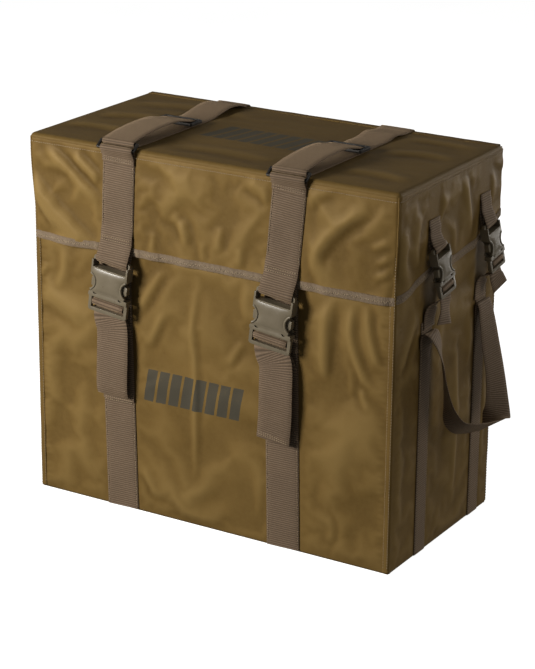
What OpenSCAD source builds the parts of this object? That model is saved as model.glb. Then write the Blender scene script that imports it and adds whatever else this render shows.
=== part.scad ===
/* [Bag] */
// Width over the lid
bag_w = 565; // [540:1:590]
// Depth over the lid
bag_d = 290; // [280:1:300]
// Height to the top of the lid
bag_h = 515; // [500:1:530]
// Thickness of the outer fabric
skin_t = 1.5; // [1:0.1:2]
// Thickness of the stiffening boards
board_t = 5; // [4:0.5:6]
// Gap between the lid's skirt and the bag's wall
lid_gap = 2.5; // [2.3:0.1:3]

/* [Lid] */
// Thickness of the lid's skirt
skirt_t = 2; // [1.5:0.1:2.5]
// Depth of the front skirt
skirt_drop = 143; // [135:1:150]
// Width of the binding tape
binding_w = 6; // [5:0.5:8]

/* [Slots] */
// Thickness of the padded dividers
divider_t = 4; // [3:0.5:6]
// Height of the dividers
divider_h = 330; // [250:5:420]
// Distance from the middle to each cross divider
divider_x = 91; // [80:1:100]

/* [Webbing] */
// Thickness of all webbing
web_t = 1.6; // [1.2:0.1:1.7]
// Width of the front and top straps
strap_w = 50.8; // [50:0.1:51]
// Width of the side tapes and side buckles' webbing
tape_w = 30; // [28:0.5:31]
// Width of the carry handles
handle_w = 38; // [34:1:40]
// Middle of the left strap
strap_left_x = -138; // [-145:1:-130]
// Middle of the right strap
strap_right_x = 124; // [118:1:130]

/* [Buckles] */
// Angle of the front buckles, turned in the plane of the front
front_turn = 7; // [0:1:8]
// Height of the front buckles' middle
front_buckle_z = 323; // [320:1:326]
// Size of the side buckles against the front ones
side_scale = 0.84; // [0.82:0.01:0.86]
// Angle at which the side buckles hang away from the wall
side_lean = 8; // [6:1:9]
// Angle of the side buckles, turned in the plane of the side
side_turn = 9; // [6:1:10]

/* [Hidden] */

// The lid's outside, and the bag's outside within it
lid_x = bag_w / 2;
lid_y = bag_d / 2;
body_x = lid_x - skirt_t - 1.5;
front_y = -lid_y + skirt_t + lid_gap;
back_y = lid_y;
wall_h = bag_h - 15;
floor_z = skin_t + board_t;
in_x = body_x - skin_t - board_t;
in_front = front_y + skin_t + board_t;
in_back = back_y - skin_t - board_t;
mid_y = (in_front + in_back) / 2;
fit = 0.3;

nylon = "#7d6437";
nylon_dark = "#5c4a2a";
webbing = "#7d6c55";
plastic = "#83795f";
steel = "#2b2722";
board = "#3a3a38";

// Boxes given by their lowest and highest corners
module block(low, high) translate(low) cube(high - low);

// Left and right copies of what is built on the right
module both_sides() { children(); mirror([1, 0, 0]) children(); }

// --- Webbing: a flat strap along a route; each stop is [centre, direction across the strap]
function unit(v) = v / norm(v);
function tangent(r, i) = unit(r[min(i + 1, len(r) - 1)][0] - r[max(i - 1, 0)][0]);
function ring(r, i, w, t) =
    let (a = unit(r[i][1]), n = unit(cross(tangent(r, i), a)), c = r[i][0])
    [c - a * w / 2 - n * t / 2, c + a * w / 2 - n * t / 2,
     c + a * w / 2 + n * t / 2, c - a * w / 2 + n * t / 2];
module strap(route, w) {
    n = len(route);
    points = [for (i = [0 : n - 1]) each ring(route, i, w, web_t)];
    sides = [for (i = [0 : n - 2], j = [0 : 3])
        let (a = 4 * i + j, b = 4 * i + (j + 1) % 4) each [[a, a + 4, b], [b, a + 4, b + 4]]];
    polyhedron(points, concat(sides, [[0, 1, 2], [0, 2, 3]],
        [let (e = 4 * (n - 1)) [e, e + 2, e + 1], let (e = 4 * (n - 1)) [e, e + 3, e + 2]]));
}

// --- Where each buckle sits: [middle of its back, turns about x, y and z]
front_spots = [
    [[strap_left_x - 8, -lid_y - 2.3, front_buckle_z], [0, front_turn, 0]],
    [[strap_right_x - 15, -lid_y - 2.3, front_buckle_z], [0, front_turn, 0]]
];
side_spots = [
    [[lid_x + 7.1, -47, 394], [-side_lean, -side_turn, 90]],
    [[lid_x + 7.1, 99, 390], [-side_lean, -side_turn, 90]]
];
function turn_x(v, a) = [v[0], v[1] * cos(a) - v[2] * sin(a), v[1] * sin(a) + v[2] * cos(a)];
function turn_y(v, a) = [v[0] * cos(a) + v[2] * sin(a), v[1], -v[0] * sin(a) + v[2] * cos(a)];
function turn_z(v, a) = [v[0] * cos(a) - v[1] * sin(a), v[0] * sin(a) + v[1] * cos(a), v[2]];
function turned(v, a) = turn_z(turn_y(turn_x(v, a[0]), a[1]), a[2]);
// A point of the buckle's own height and depth, and its direction across, in the bag's frame
function at(spot, y, z, k) = [spot[0] + turned([0, y * k, z * k], spot[1]), turned([1, 0, 0], spot[1])];
module placed(spot) translate(spot[0]) rotate(spot[1]) children();

// --- Side-release buckle. It stands upright with its front towards -y and its back at y = 0.
// w is its webbing's width and k its size, 1 for a 50 mm buckle.
function slot_half(w) = w / 2 + 1;
function latch_x(w, k) = slot_half(w) - 1.5 - 4.5 * k;
module rounded(half, low, high, r) {
    translate([-half, low + r]) square([2 * half, high - low - 2 * r]);
    translate([-half + r, low]) square([2 * (half - r), high - low]);
    for (x = [-1, 1], z = [low + r, high - r]) translate([x * (half - r), z]) circle(r, $fn = 48);
}
module plate(half, low, high, front, back, r)
    translate([0, back, 0]) rotate([90, 0, 0]) linear_extrude(back - front) rounded(half, low, high, r);
module socket(w, k) {
    h = slot_half(w);
    difference() {
        plate(h + 2.6, -12 * k, 40 * k, -14 * k, 0, 4 * k);
        block([-h, -15 * k, 24 * k], [h, 1, 34 * k]);
        block([-h - 3, -15 * k, 33.9 * k], [h + 3, -9.5 * k, 41 * k]);
        block([-h - 3, -4.5 * k, 33.9 * k], [h + 3, 1, 41 * k]);
        block([-h, -11.5 * k, -13 * k], [h, -2.5 * k, 21 * k]);
        for (s = [-1, 1]) {
            translate([s * (h + 2.6 + 5 * k), 1, 2.5 * k]) rotate([90, 0, 0])
                cylinder(h = 16 * k, r = 12.5 * k, $fn = 64);
            block([s * (h + 1) - 2.2, -11.5 * k, -13 * k], [s * (h + 1) + 2.2, -2.5 * k, 4 * k]);
        }
    }
}
module plug(w, k) {
    h = slot_half(w);
    x = latch_x(w, k);
    difference() {
        union() {
            plate(h + 4.6, -40 * k, -14 * k, -10.7 * k, -5.5 * k, 4 * k);
            plate(h + 4.6, -19 * k, -12.4 * k, -13 * k, -1.4 * k, 2 * k);
            block([-4 * k, -10.5 * k, -14 * k], [4 * k, -3.5 * k, 17 * k]);
        }
        block([-h, -14 * k, -35 * k], [h, 1, -19.2 * k]);
        for (s = [-1, 1]) translate([s * x, -1 * k, -12 * k]) rotate([90, 0, 0])
            cylinder(h = 12.5 * k, r = 3 * k + fit, $fn = 48);
    }
    block([-h - 1, -9.2 * k, -28.5 * k], [h + 1, -6.2 * k, -25.5 * k]);
}
// One of the two springy arms, on the +x side for s = 1
module latch(w, k, s) {
    h = slot_half(w);
    x = latch_x(w, k);
    arm = 4.5 * k;
    mirror([s < 0 ? 1 : 0, 0, 0]) translate([0, -3.1 * k, 0]) rotate([90, 0, 0]) linear_extrude(7.8 * k) {
        translate([x, -12 * k]) circle(3 * k, $fn = 48);
        polygon([[x - 2.4 * k, -12 * k], [x + 2.4 * k, -12 * k], [x + arm, -7 * k],
            [x + arm + 0.6, -5.5 * k], [h + 2.4, -4 * k], [h + 2.4, 7 * k], [x + 3.2 * k, 8.5 * k],
            [x + 2.8 * k, 13 * k], [x + 1.2 * k, 19.5 * k], [x - arm, 19.5 * k], [x - arm, 8 * k],
            [x - 2.4 * k, -6 * k]]);
    }
}

// --- Webbing through the plug: up behind it, over its middle bar, and down as the free tail
function through_plug(spot, k) = [
    at(spot, -1, -44, k), at(spot, -1, -34, k), at(spot, -2.6, -26.5, k), at(spot, -5.2, -23.1, k),
    at(spot, -8.2, -22.9, k), at(spot, -10.9, -24.6, k), at(spot, -11.5, -27, k),
    at(spot, -10.6, -29.6, k), at(spot, -7, -31.6, k), at(spot, -3.9, -33.4, k),
    at(spot, -3.2, -37, k), at(spot, -3.2, -44, k)
];
front_x = [strap_left_x, strap_right_x];
function front_route(i, tail_x) = concat(
    [for (z = [162, 200, 236]) [[front_x[i] - (z - 162) / 20, front_y - web_t * 1.5 - 0.4, z], [1, 0, 0]]],
    [[[front_x[i] - 6, front_y - 5, 258], [1, 0, -0.06]]],
    through_plug(front_spots[i], 1),
    [[[tail_x[0], -lid_y - 6.5, 262], [1, 0, 0]], [[tail_x[1], -lid_y - 9, 225], [1, 0, 0.03]],
     [[tail_x[2], -lid_y - 8, 190], [1, 0, 0.03]], [[tail_x[3], -lid_y - 6, 154], [1, 0, 0]]]);
function side_route(i) = let (y = side_spots[i][0][1]) concat(
    [for (z = [316, 326]) [[body_x + web_t * 1.5 + 0.2, y - 6, z], [0, 1, 0]]],
    [[[body_x + 6, y - 4, 344], [0.1, 1, 0.1]]],
    through_plug(side_spots[i], side_scale),
    [[[lid_x + 16.6, y + 3, 341], [-0.1, 1, 0.1]], [[lid_x + 17.5, y, 322], [0.2, 1, 0]]]);

// --- Strap rings: the middles of their front and rear bars in y and z, and the webbing's path round them
front_bar = [-lid_y - 5.5, bag_h - 1.5];
rear_bar = [-lid_y + 4, bag_h + 5.5];
ring_wire = 3.6;
bar_turn = ring_wire / sqrt(2) + web_t / 2 + 0.2;

// --- Webbing round the socket's top bar, sewn back on itself
function round_bar(spot, k) = [
    at(spot, -10.9, 39, k), at(spot, -10.8, 34.5, k), at(spot, -8.2, 31.2, k),
    at(spot, -5, 31.3, k), at(spot, -3, 34.5, k)
];
// Half a turn and more of webbing round a bar that lies along x, seen from +x
function turn_about(y, z, from, to) = [for (a = [from : (to - from) / 6 : to + 0.01 * (to - from)])
    [y + bar_turn * cos(a), z + bar_turn * sin(a)]];
function lid_route(i) = let (x = front_x[i], y = -lid_y - web_t / 2 - 0.1) concat(
    [for (p = concat([[y - 1.8, 494], [y - 1.9, 500], [y - 3.8, 505]],
        turn_about(front_bar[0], front_bar[1], 215, 5),
        [[y - 0.8, 509], [y, 502], [y, 405], [y - 1.4, 396], [y - 2.6, 384]])) [[x, p[0], p[1]], [1, 0, 0]]],
    [[[x - 1, y - 8.4, 369], [1, 0, -0.08]]],
    round_bar(front_spots[i], 1),
    [[[x - 2, y - 1.9, 367], [1, 0, -0.08]], [[x, y, 376], [1, 0, 0]], [[x, y, 392], [1, 0, 0]]]);
function tab_route(i) = let (y = side_spots[i][0][1], x = lid_x + web_t / 2 + 0.1) concat(
    [for (p = [[0, 462], [0.2, 456], [1.8, 450], [2.4, 441]]) [[x + p[0], y - 4, p[1]], [0, 1, 0]]],
    [[[x + 7, y - 5, 432], [0, 1, 0.1]]],
    round_bar(side_spots[i], side_scale),
    [[[x + 1.4, y - 5, 431], [0, 1, 0.1]], [[x, y - 4, 438], [0, 1, 0]], [[x, y - 4, 449], [0, 1, 0]]]);

// --- Top straps: flat along the lid, round the ring, and back to the slider
top_z = bag_h + web_t / 2;
function top_route(x) = [for (p = concat([[lid_y - 8, top_z], [lid_y - 60, top_z], [-60, top_z],
    [rear_bar[0] + 16, top_z], [rear_bar[0] + 8, top_z + 0.4]],
    turn_about(rear_bar[0], rear_bar[1], 290, 90))) [[x, p[0], p[1]], [1, 0, 0]]];
function loop_route(x) = [for (p = [[rear_bar[0] + 0.4, rear_bar[1] + bar_turn + 0.03], [-110, bag_h + 13.4],
    [-70, bag_h + 16], [-35, bag_h + 15], [-14, bag_h + 10.6], [-6, bag_h + 8.8], [0, bag_h + 8.3],
    [2.6, bag_h + 7.6], [3.5, bag_h + 6], [2.6, bag_h + 4.4], [0, bag_h + 3.7], [-7, bag_h + 3.5]])
    [[x, p[0], p[1]], [1, 0, 0]]];

// --- Carry handle on the right side, down from the front tape and up to the rear one
handle_route = [
    [[281.8, -57, 292], [0, -1, 0]], [[281.9, -57, 304], [0, -1, 0]], [[284.6, -56.5, 310.5], [0, -1, 0.05]],
    [[290, -55, 309], [0.1, -1, 0.1]], [[296, -52, 297], [0.3, -1, 0.1]], [[300, -49, 275], [0.5, -0.86, 0]],
    [[304, -46, 245], [0.55, -0.8, 0]], [[309, -42, 212], [0.7, -0.65, 0.1]],
    [[314, -33, 186], [0.85, -0.3, 0.35]], [[318, -15, 172], [0.85, 0, 0.5]],
    [[321, 10, 164], [0.83, 0, 0.56]], [[322, 40, 157], [0.83, 0.05, 0.56]],
    [[321, 68, 152], [0.8, 0.3, 0.5]], [[317, 88, 158], [0.6, 0.75, 0.2]],
    [[311, 99, 180], [0.4, 0.9, 0]], [[304, 103, 215], [0.25, 0.97, 0]],
    [[297, 102, 250], [0.2, 0.97, 0]], [[291, 100.5, 285], [0.1, 1, 0]],
    [[286.6, 100, 306], [0, 1, 0]], [[283.6, 100, 310.5], [0, 1, 0]],
    [[281.9, 100, 304], [0, 1, 0]], [[281.8, 100, 292], [0, 1, 0]]
];
handle_front_y = -57;
handle_rear_y = 100;

// --- Bag
module bottom_panel() color(nylon_dark)
    block([-body_x + skin_t, front_y + skin_t, 0], [body_x - skin_t, back_y - skin_t, skin_t]);
module bottom_board() color(board)
    block([-body_x + skin_t, front_y + skin_t, skin_t], [body_x - skin_t, back_y - skin_t, floor_z]);
module front_panel() color(nylon) block([-body_x, front_y, 0], [body_x, front_y + skin_t, wall_h]);
module back_panel() color(nylon) block([-body_x, back_y - skin_t, 0], [body_x, back_y, wall_h]);
module right_panel() color(nylon)
    block([body_x - skin_t, front_y + skin_t, 0], [body_x, back_y - skin_t, wall_h]);
module left_panel() mirror([1, 0, 0]) right_panel();
module long_boards() color(board)
    for (y = [front_y + skin_t, in_back])
        block([-body_x + skin_t, y, floor_z], [body_x - skin_t, y + board_t, wall_h]);
module side_boards() color(board)
    both_sides() block([in_x, in_front, floor_z], [in_x + board_t, in_back, wall_h]);
module mouth_binding() color(nylon_dark) {
    for (y = [[front_y, in_front], [in_back, back_y]])
        block([-body_x, y[0], wall_h], [body_x, y[1], wall_h + 7]);
    both_sides() block([in_x, in_front + 0.4, wall_h], [body_x, in_back - 0.4, wall_h + 7]);
}
module corner_seams() color(nylon_dark)
    both_sides() for (y = [front_y - web_t, back_y])
        block([body_x - 8, y, 8], [body_x, y + web_t, wall_h]);
module long_divider() color(nylon_dark) difference() {
    block([-in_x, mid_y - divider_t / 2, floor_z], [in_x, mid_y + divider_t / 2, floor_z + divider_h]);
    for (x = [-divider_x, divider_x])
        block([x - divider_t / 2 - fit, mid_y - divider_t, floor_z + divider_h / 2],
            [x + divider_t / 2 + fit, mid_y + divider_t, floor_z + divider_h + 1]);
}
module cross_divider(x) color(nylon_dark) difference() {
    block([x - divider_t / 2, in_front, floor_z], [x + divider_t / 2, in_back, floor_z + divider_h]);
    block([x - divider_t, mid_y - divider_t / 2 - fit, floor_z - 1],
        [x + divider_t, mid_y + divider_t / 2 + fit, floor_z + divider_h / 2 + fit]);
}
module front_straps() color(webbing) for (x = front_x)
    block([x - strap_w / 2, front_y - web_t, 1], [x + strap_w / 2, front_y, wall_h]);
module back_straps() color(webbing) for (x = front_x)
    block([x - strap_w / 2, back_y, 1], [x + strap_w / 2, back_y + web_t, wall_h + 6]);
module side_tapes() color(webbing) both_sides()
    for (y = [handle_front_y, handle_rear_y])
        block([body_x, y - tape_w / 2, 1], [body_x + web_t, y + tape_w / 2, 326]);

// --- Lid
skirt_z = bag_h - skirt_drop;
skirt_edge = [[-lid_y + skirt_t, 377], [-51, 393], [5, 391], [72, 398], [93, 407], [lid_y, 423]];
module lid_panel() color(nylon)
    block([-lid_x, -lid_y, bag_h - skin_t], [lid_x, lid_y, bag_h]);
module lid_board() color(board)
    block([-lid_x + skirt_t, -lid_y + skirt_t, bag_h - floor_z], [lid_x - skirt_t, lid_y - 0.5, bag_h - skin_t]);
module lid_front_skirt() color(nylon)
    block([-lid_x, -lid_y, skirt_z], [lid_x, -lid_y + skirt_t, bag_h - skin_t]);
// A flat shape drawn in y and z, from x = low to x = high
module upright(low, high) translate([low, 0, 0]) rotate([90, 0, 90]) linear_extrude(high - low) children();
module lid_side_skirts() color(nylon) both_sides() upright(lid_x - skirt_t, lid_x)
    polygon(concat(skirt_edge, [[lid_y, bag_h - skin_t], [-lid_y + skirt_t, bag_h - skin_t]]));
module lid_binding() color(webbing) {
    block([-lid_x, -lid_y - 0.6, skirt_z - binding_w], [lid_x, -lid_y + skirt_t + 0.3, skirt_z - 0.01]);
    both_sides() upright(lid_x - skirt_t - 0.5, lid_x + 0.7) polygon(concat(
        [for (p = skirt_edge) [max(p[0], -lid_y + skirt_t + 0.6), p[1] - 0.01]],
        [for (i = [len(skirt_edge) - 1 : -1 : 0])
            [max(skirt_edge[i][0], -lid_y + skirt_t + 0.6), skirt_edge[i][1] - binding_w]]));
}
// A flat loop of bar, leaning over the lid's front edge
module strap_ring(x) {
    run = rear_bar - front_bar;
    half = strap_w / 2 + 1.2;
    translate([x, front_bar[0], front_bar[1]]) rotate([atan2(run[1], run[0]), 0, 0])
        translate([0, 0, -ring_wire / 2]) linear_extrude(ring_wire) difference() {
            rounded(half + ring_wire, -ring_wire / 2, norm(run) + ring_wire / 2, 2);
            translate([-half, ring_wire / 2]) square([2 * half, norm(run) - ring_wire]);
        }
}
module strap_rings() color(steel) for (x = front_x) strap_ring(x);
module side_tabs() color(webbing) both_sides() for (i = [0, 1]) strap(tab_route(i), tape_w);
module side_sockets() color(plastic) both_sides()
    for (spot = side_spots) placed(spot) socket(tape_w, side_scale);

// --- Slider: a flat frame with a middle bar
module slider(x) color(steel) translate([x, 0, bag_h + 4]) {
    h = slot_half(strap_w);
    difference() {
        linear_extrude(4) rounded(h + 4, -14, 14, 3);
        block([-h, -10.5, -5], [h, 10.5, 9]);
    }
    block([-h - 1, -1.8, 1], [h + 1, 1.8, 3]);
}

// --- Straps and webbing that the sub-parts share
module lid_strap(i) color(webbing) strap(lid_route(i), strap_w);
module top_strap(x) color(webbing) strap(top_route(x), strap_w);
module adjuster_loop(x) color(webbing) strap(loop_route(x), strap_w);
module handle() color(webbing) strap(handle_route, handle_w);
front_tails = [[-144, -142, -141, -141], [118, 116, 113, 111]];
module front_webbing(i) color(webbing) strap(front_route(i, front_tails[i]), strap_w);
module side_webbing(i) color(webbing) strap(side_route(i), tape_w);

// --- Buckle parts in their places; i is 0 for the left or front buckle of a pair, 1 for the other
module front_socket(i) color(plastic) placed(front_spots[i]) socket(strap_w, 1);
module front_plug(i) color(plastic) placed(front_spots[i]) plug(strap_w, 1);
module front_latch(i, s) color(plastic) placed(front_spots[i]) latch(strap_w, 1, s);
module side_plug(i) color(plastic) placed(side_spots[i]) plug(tape_w, side_scale);
module side_latch(i, s) color(plastic) placed(side_spots[i]) latch(tape_w, side_scale, s);

bottom_panel();
bottom_board();
front_panel();
back_panel();
left_panel();
right_panel();
long_boards();
side_boards();
mouth_binding();
corner_seams();
long_divider();
cross_divider(-divider_x);  // cross_divider_left
cross_divider(divider_x);  // cross_divider_right
front_straps();
back_straps();
side_tapes();
lid_panel();
lid_board();
lid_front_skirt();
lid_side_skirts();
lid_binding();
lid_strap(0);  // lid_strap_left
lid_strap(1);  // lid_strap_right
top_strap(strap_left_x);  // top_strap_left
top_strap(strap_right_x);  // top_strap_right
adjuster_loop(strap_left_x);  // adjuster_loop_left
adjuster_loop(strap_right_x);  // adjuster_loop_right
strap_rings();
front_socket(0);  // front_left_socket
front_socket(1);  // front_right_socket
side_sockets();
side_tabs();
slider(strap_left_x);  // slider_left
slider(strap_right_x);  // slider_right
mirror([1, 0, 0]) handle();  // left_handle
handle();  // right_handle
front_plug(0);  // front_left_plug
front_latch(0, -1);  // front_left_latch_l
front_latch(0, 1);  // front_left_latch_r
front_webbing(0);  // front_left_webbing
front_plug(1);  // front_right_plug
front_latch(1, -1);  // front_right_latch_l
front_latch(1, 1);  // front_right_latch_r
front_webbing(1);  // front_right_webbing
side_plug(0);  // right_front_plug
side_latch(0, -1);  // right_front_latch_l
side_latch(0, 1);  // right_front_latch_r
side_webbing(0);  // right_front_webbing
side_plug(1);  // right_rear_plug
side_latch(1, -1);  // right_rear_latch_l
side_latch(1, 1);  // right_rear_latch_r
side_webbing(1);  // right_rear_webbing
mirror([1, 0, 0]) side_plug(0);  // left_front_plug
mirror([1, 0, 0]) side_latch(0, -1);  // left_front_latch_l
mirror([1, 0, 0]) side_latch(0, 1);  // left_front_latch_r
mirror([1, 0, 0]) side_webbing(0);  // left_front_webbing
mirror([1, 0, 0]) side_plug(1);  // left_rear_plug
mirror([1, 0, 0]) side_latch(1, -1);  // left_rear_latch_l
mirror([1, 0, 0]) side_latch(1, 1);  // left_rear_latch_r
mirror([1, 0, 0]) side_webbing(1);  // left_rear_webbing
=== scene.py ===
import math

import bmesh
import bpy
import numpy as np
from mathutils import Matrix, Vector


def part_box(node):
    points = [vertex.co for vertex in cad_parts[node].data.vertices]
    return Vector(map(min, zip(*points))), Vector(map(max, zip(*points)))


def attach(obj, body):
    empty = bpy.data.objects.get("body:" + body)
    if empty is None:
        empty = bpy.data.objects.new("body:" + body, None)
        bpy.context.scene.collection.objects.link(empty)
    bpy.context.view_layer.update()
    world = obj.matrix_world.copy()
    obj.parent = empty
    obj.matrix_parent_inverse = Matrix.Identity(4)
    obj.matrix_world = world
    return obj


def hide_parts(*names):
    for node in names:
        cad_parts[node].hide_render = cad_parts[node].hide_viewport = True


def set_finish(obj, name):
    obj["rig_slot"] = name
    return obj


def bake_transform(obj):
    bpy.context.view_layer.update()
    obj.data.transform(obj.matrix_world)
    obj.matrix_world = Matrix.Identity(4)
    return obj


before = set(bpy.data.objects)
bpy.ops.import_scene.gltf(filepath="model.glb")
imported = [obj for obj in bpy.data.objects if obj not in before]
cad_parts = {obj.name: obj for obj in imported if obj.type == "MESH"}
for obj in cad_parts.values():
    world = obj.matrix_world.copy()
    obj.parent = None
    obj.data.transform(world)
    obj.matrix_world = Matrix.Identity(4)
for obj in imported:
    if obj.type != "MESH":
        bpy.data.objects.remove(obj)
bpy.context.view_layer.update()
mm = 0.001


def boxOf(node):
    return [np.array(corner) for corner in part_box(node)]


# Driving sizes of the bag and its lid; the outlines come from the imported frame
bag = {
    "x": boxOf("right_panel")[1][0],
    "front": boxOf("front_panel")[0][1],
    "back": boxOf("back_panel")[1][1],
    "top": boxOf("front_panel")[1][2],
    "cornerRadius": 3 * mm,
    "strapX": [-138 * mm, 124 * mm],
    "strapWidth": 50.8 * mm,
    "tapeY": (-57 * mm, 100 * mm),
    "tapeWidth": 30 * mm,
}
lid = {
    "x": boxOf("lid_panel")[1][0],
    "y": boxOf("lid_panel")[1][1],
    "top": boxOf("lid_panel")[1][2],
    "edge": boxOf("lid_front_skirt")[0][2],
    "cornerRadius": 6 * mm,
    "tabY": (-51 * mm, 95 * mm),
}


def addObject(name, data):
    piece = bpy.data.objects.new(name, data)
    bpy.context.scene.collection.objects.link(piece)
    return piece


def awayFrom(azimuth, elevation):
    # unit vector towards a place seen at this azimuth and elevation, in degrees; 0 is in front
    az, el = math.radians(azimuth), math.radians(elevation)
    return np.array([math.sin(az) * math.cos(el), -math.cos(az) * math.cos(el), math.sin(el)])


def placeAt(columns, spot):
    # a matrix from its three axes and its origin
    place = np.eye(4)
    for k, column in enumerate(columns):
        place[:3, k] = column
    place[:3, 3] = spot
    return Matrix(place.tolist())


# ---- camera, light and floor
camera = {"azimuth": 31.13, "elevation": 19.2, "roll": 0.57, "distance": 3.116, "lens": 122.0,
          "target": (7.2 * mm, 0.0, 239 * mm)}


def addCamera():
    az, roll = math.radians(camera["azimuth"]), math.radians(camera["roll"])
    back = awayFrom(camera["azimuth"], camera["elevation"])
    right = np.array([math.cos(az), math.sin(az), 0.0])
    up = np.cross(back, right)
    right, up = (right * math.cos(roll) + up * math.sin(roll), up * math.cos(roll) - right * math.sin(roll))
    data = bpy.data.cameras.new("camera")
    data.lens, data.sensor_width, data.sensor_fit = camera["lens"], 36.0, "AUTO"
    data.clip_start, data.clip_end = 0.05, 50.0
    eye = addObject("camera", data)
    eye.matrix_world = placeAt((right, up, back), np.array(camera["target"]) + back * camera["distance"])
    bpy.context.scene.camera = eye


# Each light: its size, power, and where it stands as azimuth, elevation and distance
lights = {
    "key": {"size": 0.65, "power": 43.0, "azimuth": -33.0, "elevation": 18.5, "distance": 1.95},
    "fill": {"size": 1.6, "power": 13.0, "azimuth": 100.0, "elevation": 18.0, "distance": 2.6},
    "back": {"size": 1.5, "power": 17.0, "azimuth": 158.0, "elevation": 9.0, "distance": 2.6},
}


def addLights():
    middle = np.array([0.0, 0.0, 0.25])
    for name, light in lights.items():
        away = awayFrom(light["azimuth"], light["elevation"])
        data = bpy.data.lights.new(name, "AREA")
        data.size, data.energy, data.color = light["size"], light["power"], (1.0, 0.97, 0.93)
        side = np.cross([0, 0, 1], away)
        side /= np.linalg.norm(side)
        addObject(name, data).matrix_world = placeAt((side, np.cross(away, side), away),
                                                     middle + away * light["distance"])
    world = bpy.data.worlds.new("studio")
    world.use_nodes = True
    sky = world.node_tree.nodes["Background"]
    sky.inputs["Color"].default_value = (0.96, 0.98, 1.0, 1.0)
    sky.inputs["Strength"].default_value = 0.115
    bpy.context.scene.world = world
    bpy.context.scene.view_settings.view_transform = "Standard"


# ---- materials
def nodeOf(tree, kind, **values):
    node = tree.nodes.new(kind)
    for key, value in values.items():
        if key in node.inputs:
            node.inputs[key].default_value = value
        else:
            setattr(node, key, value)
    return node


def plug(tree, source, target):
    tree.links.new(source, target)


def sums(tree, operation, a, b=0.0, c=0.0):
    # one Math node; a, b and c are sockets or plain numbers
    node = tree.nodes.new("ShaderNodeMath")
    node.operation = operation
    for slot, value in enumerate((a, b, c)):
        if isinstance(value, (int, float)):
            node.inputs[slot].default_value = value
        else:
            plug(tree, value, node.inputs[slot])
    return node.outputs[0]


def mixColour(tree, share, a, b):
    node = tree.nodes.new("ShaderNodeMix")
    node.data_type = "RGBA"
    for socket, value in ((node.inputs[0], share), (node.inputs[6], a), (node.inputs[7], b)):
        if isinstance(value, bpy.types.NodeSocket):
            plug(tree, value, socket)
        elif isinstance(value, float):
            socket.default_value = value
        else:
            socket.default_value = (*value, 1.0)
    return node.outputs[2]


def times(tree, a, b):
    return sums(tree, "MULTIPLY", a, b)


def tinted(tree, colour, over, mask, strength):
    # the colour covered by another where the mask is 1, as far as the strength allows
    return mixColour(tree, times(tree, mask, strength), colour, over)


def newMaterial(name):
    material = bpy.data.materials.new(name)
    material.use_nodes = True
    tree = material.node_tree
    return material, tree, tree.nodes["Principled BSDF"]


def setSurface(tree, surface, values):
    # each value is a plain number or colour, or the socket that drives it
    for name, value in values.items():
        if isinstance(value, bpy.types.NodeSocket):
            plug(tree, value, surface.inputs[name])
        else:
            surface.inputs[name].default_value = value


def bumped(tree, height, strength, distance):
    bump = nodeOf(tree, "ShaderNodeBump", Strength=strength, Distance=distance)
    plug(tree, height, bump.inputs["Height"])
    return bump.outputs[0]


def clothPlaces(tree):
    # a cloth's own coordinates, in metres, and its place in the frame
    uv = nodeOf(tree, "ShaderNodeUVMap", uv_map="UVMap").outputs[0]
    return uv, nodeOf(tree, "ShaderNodeTexCoord").outputs["Object"]


def waves(tree, vector, direction, pitch, distortion=0.0):
    # even bands across one axis of the vector, one band each pitch metres
    node = nodeOf(tree, "ShaderNodeTexWave", bands_direction=direction, Scale=math.pi / 10 / pitch,
                  Distortion=distortion, Detail=2.0)
    plug(tree, vector, node.inputs["Vector"])
    return node.outputs["Fac"]


def noise(tree, vector, size, detail=3.0):
    node = nodeOf(tree, "ShaderNodeTexNoise", Scale=1 / size, Detail=detail, Roughness=0.55)
    plug(tree, vector, node.inputs["Vector"])
    return node.outputs["Fac"]


def ramp(tree, value, low, high):
    node = nodeOf(tree, "ShaderNodeMapRange")
    plug(tree, value, node.inputs[0])
    node.inputs[1].default_value, node.inputs[2].default_value = low, high
    return node.outputs[0]


def nylonMaterial(name, look, prints=None):
    # coated cloth: a fine cross weave, cloudy colour and worn specks, with painted highlight on raised folds and
    # painted shade in the valleys
    material, tree, surface = newMaterial(name)
    uv, place = clothPlaces(tree)
    fold = nodeOf(tree, "ShaderNodeAttribute", attribute_name="fold").outputs["Fac"]
    cloud = ramp(tree, noise(tree, place, 0.11), 0.3, 0.7)
    speck = ramp(tree, noise(tree, place, 0.006, 5.0), 0.25, 0.75)
    colour = mixColour(tree, cloud, look["dark"], look["colour"])
    # painted highlight: where the fold attribute is above 0.5 the colour turns to the worn tone on the ridges
    colour = mixColour(tree, ramp(tree, fold, 0.5, 1.0), colour, look["worn"])
    # painted shade: where the fold attribute is below 0.5 the colour turns to the deep tone in the valleys and
    # hollows
    colour = mixColour(tree, ramp(tree, fold, 0.5, 0.0), colour, look["deep"])
    warp, weft = waves(tree, uv, "X", look["pitch"]), waves(tree, uv, "Y", look["pitch"])
    weave = sums(tree, "MAXIMUM", warp, weft)
    colour = tinted(tree, colour, look["worn"], speck, 0.22)
    colour = tinted(tree, colour, look["deep"], weave, 0.18)
    if prints:
        colour = mixColour(tree, printMask(tree, uv, place, prints), colour, prints["ink"])
    height = sums(tree, "MULTIPLY_ADD", speck, 0.7, times(tree, weave, 0.5))
    setSurface(tree, surface, {
        "Base Color": colour, "Roughness": sums(tree, "MULTIPLY_ADD", cloud, 0.1, look["rough"]),
        "Specular IOR Level": look["gloss"], "Specular Tint": (1.0, 0.74, 0.42, 1.0),
        "Sheen Weight": look["sheen"], "Sheen Roughness": 0.45, "Sheen Tint": (1.0, 0.7, 0.38, 1.0),
        "Normal": bumped(tree, height, 0.35, 0.2 * mm)})
    return material


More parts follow.
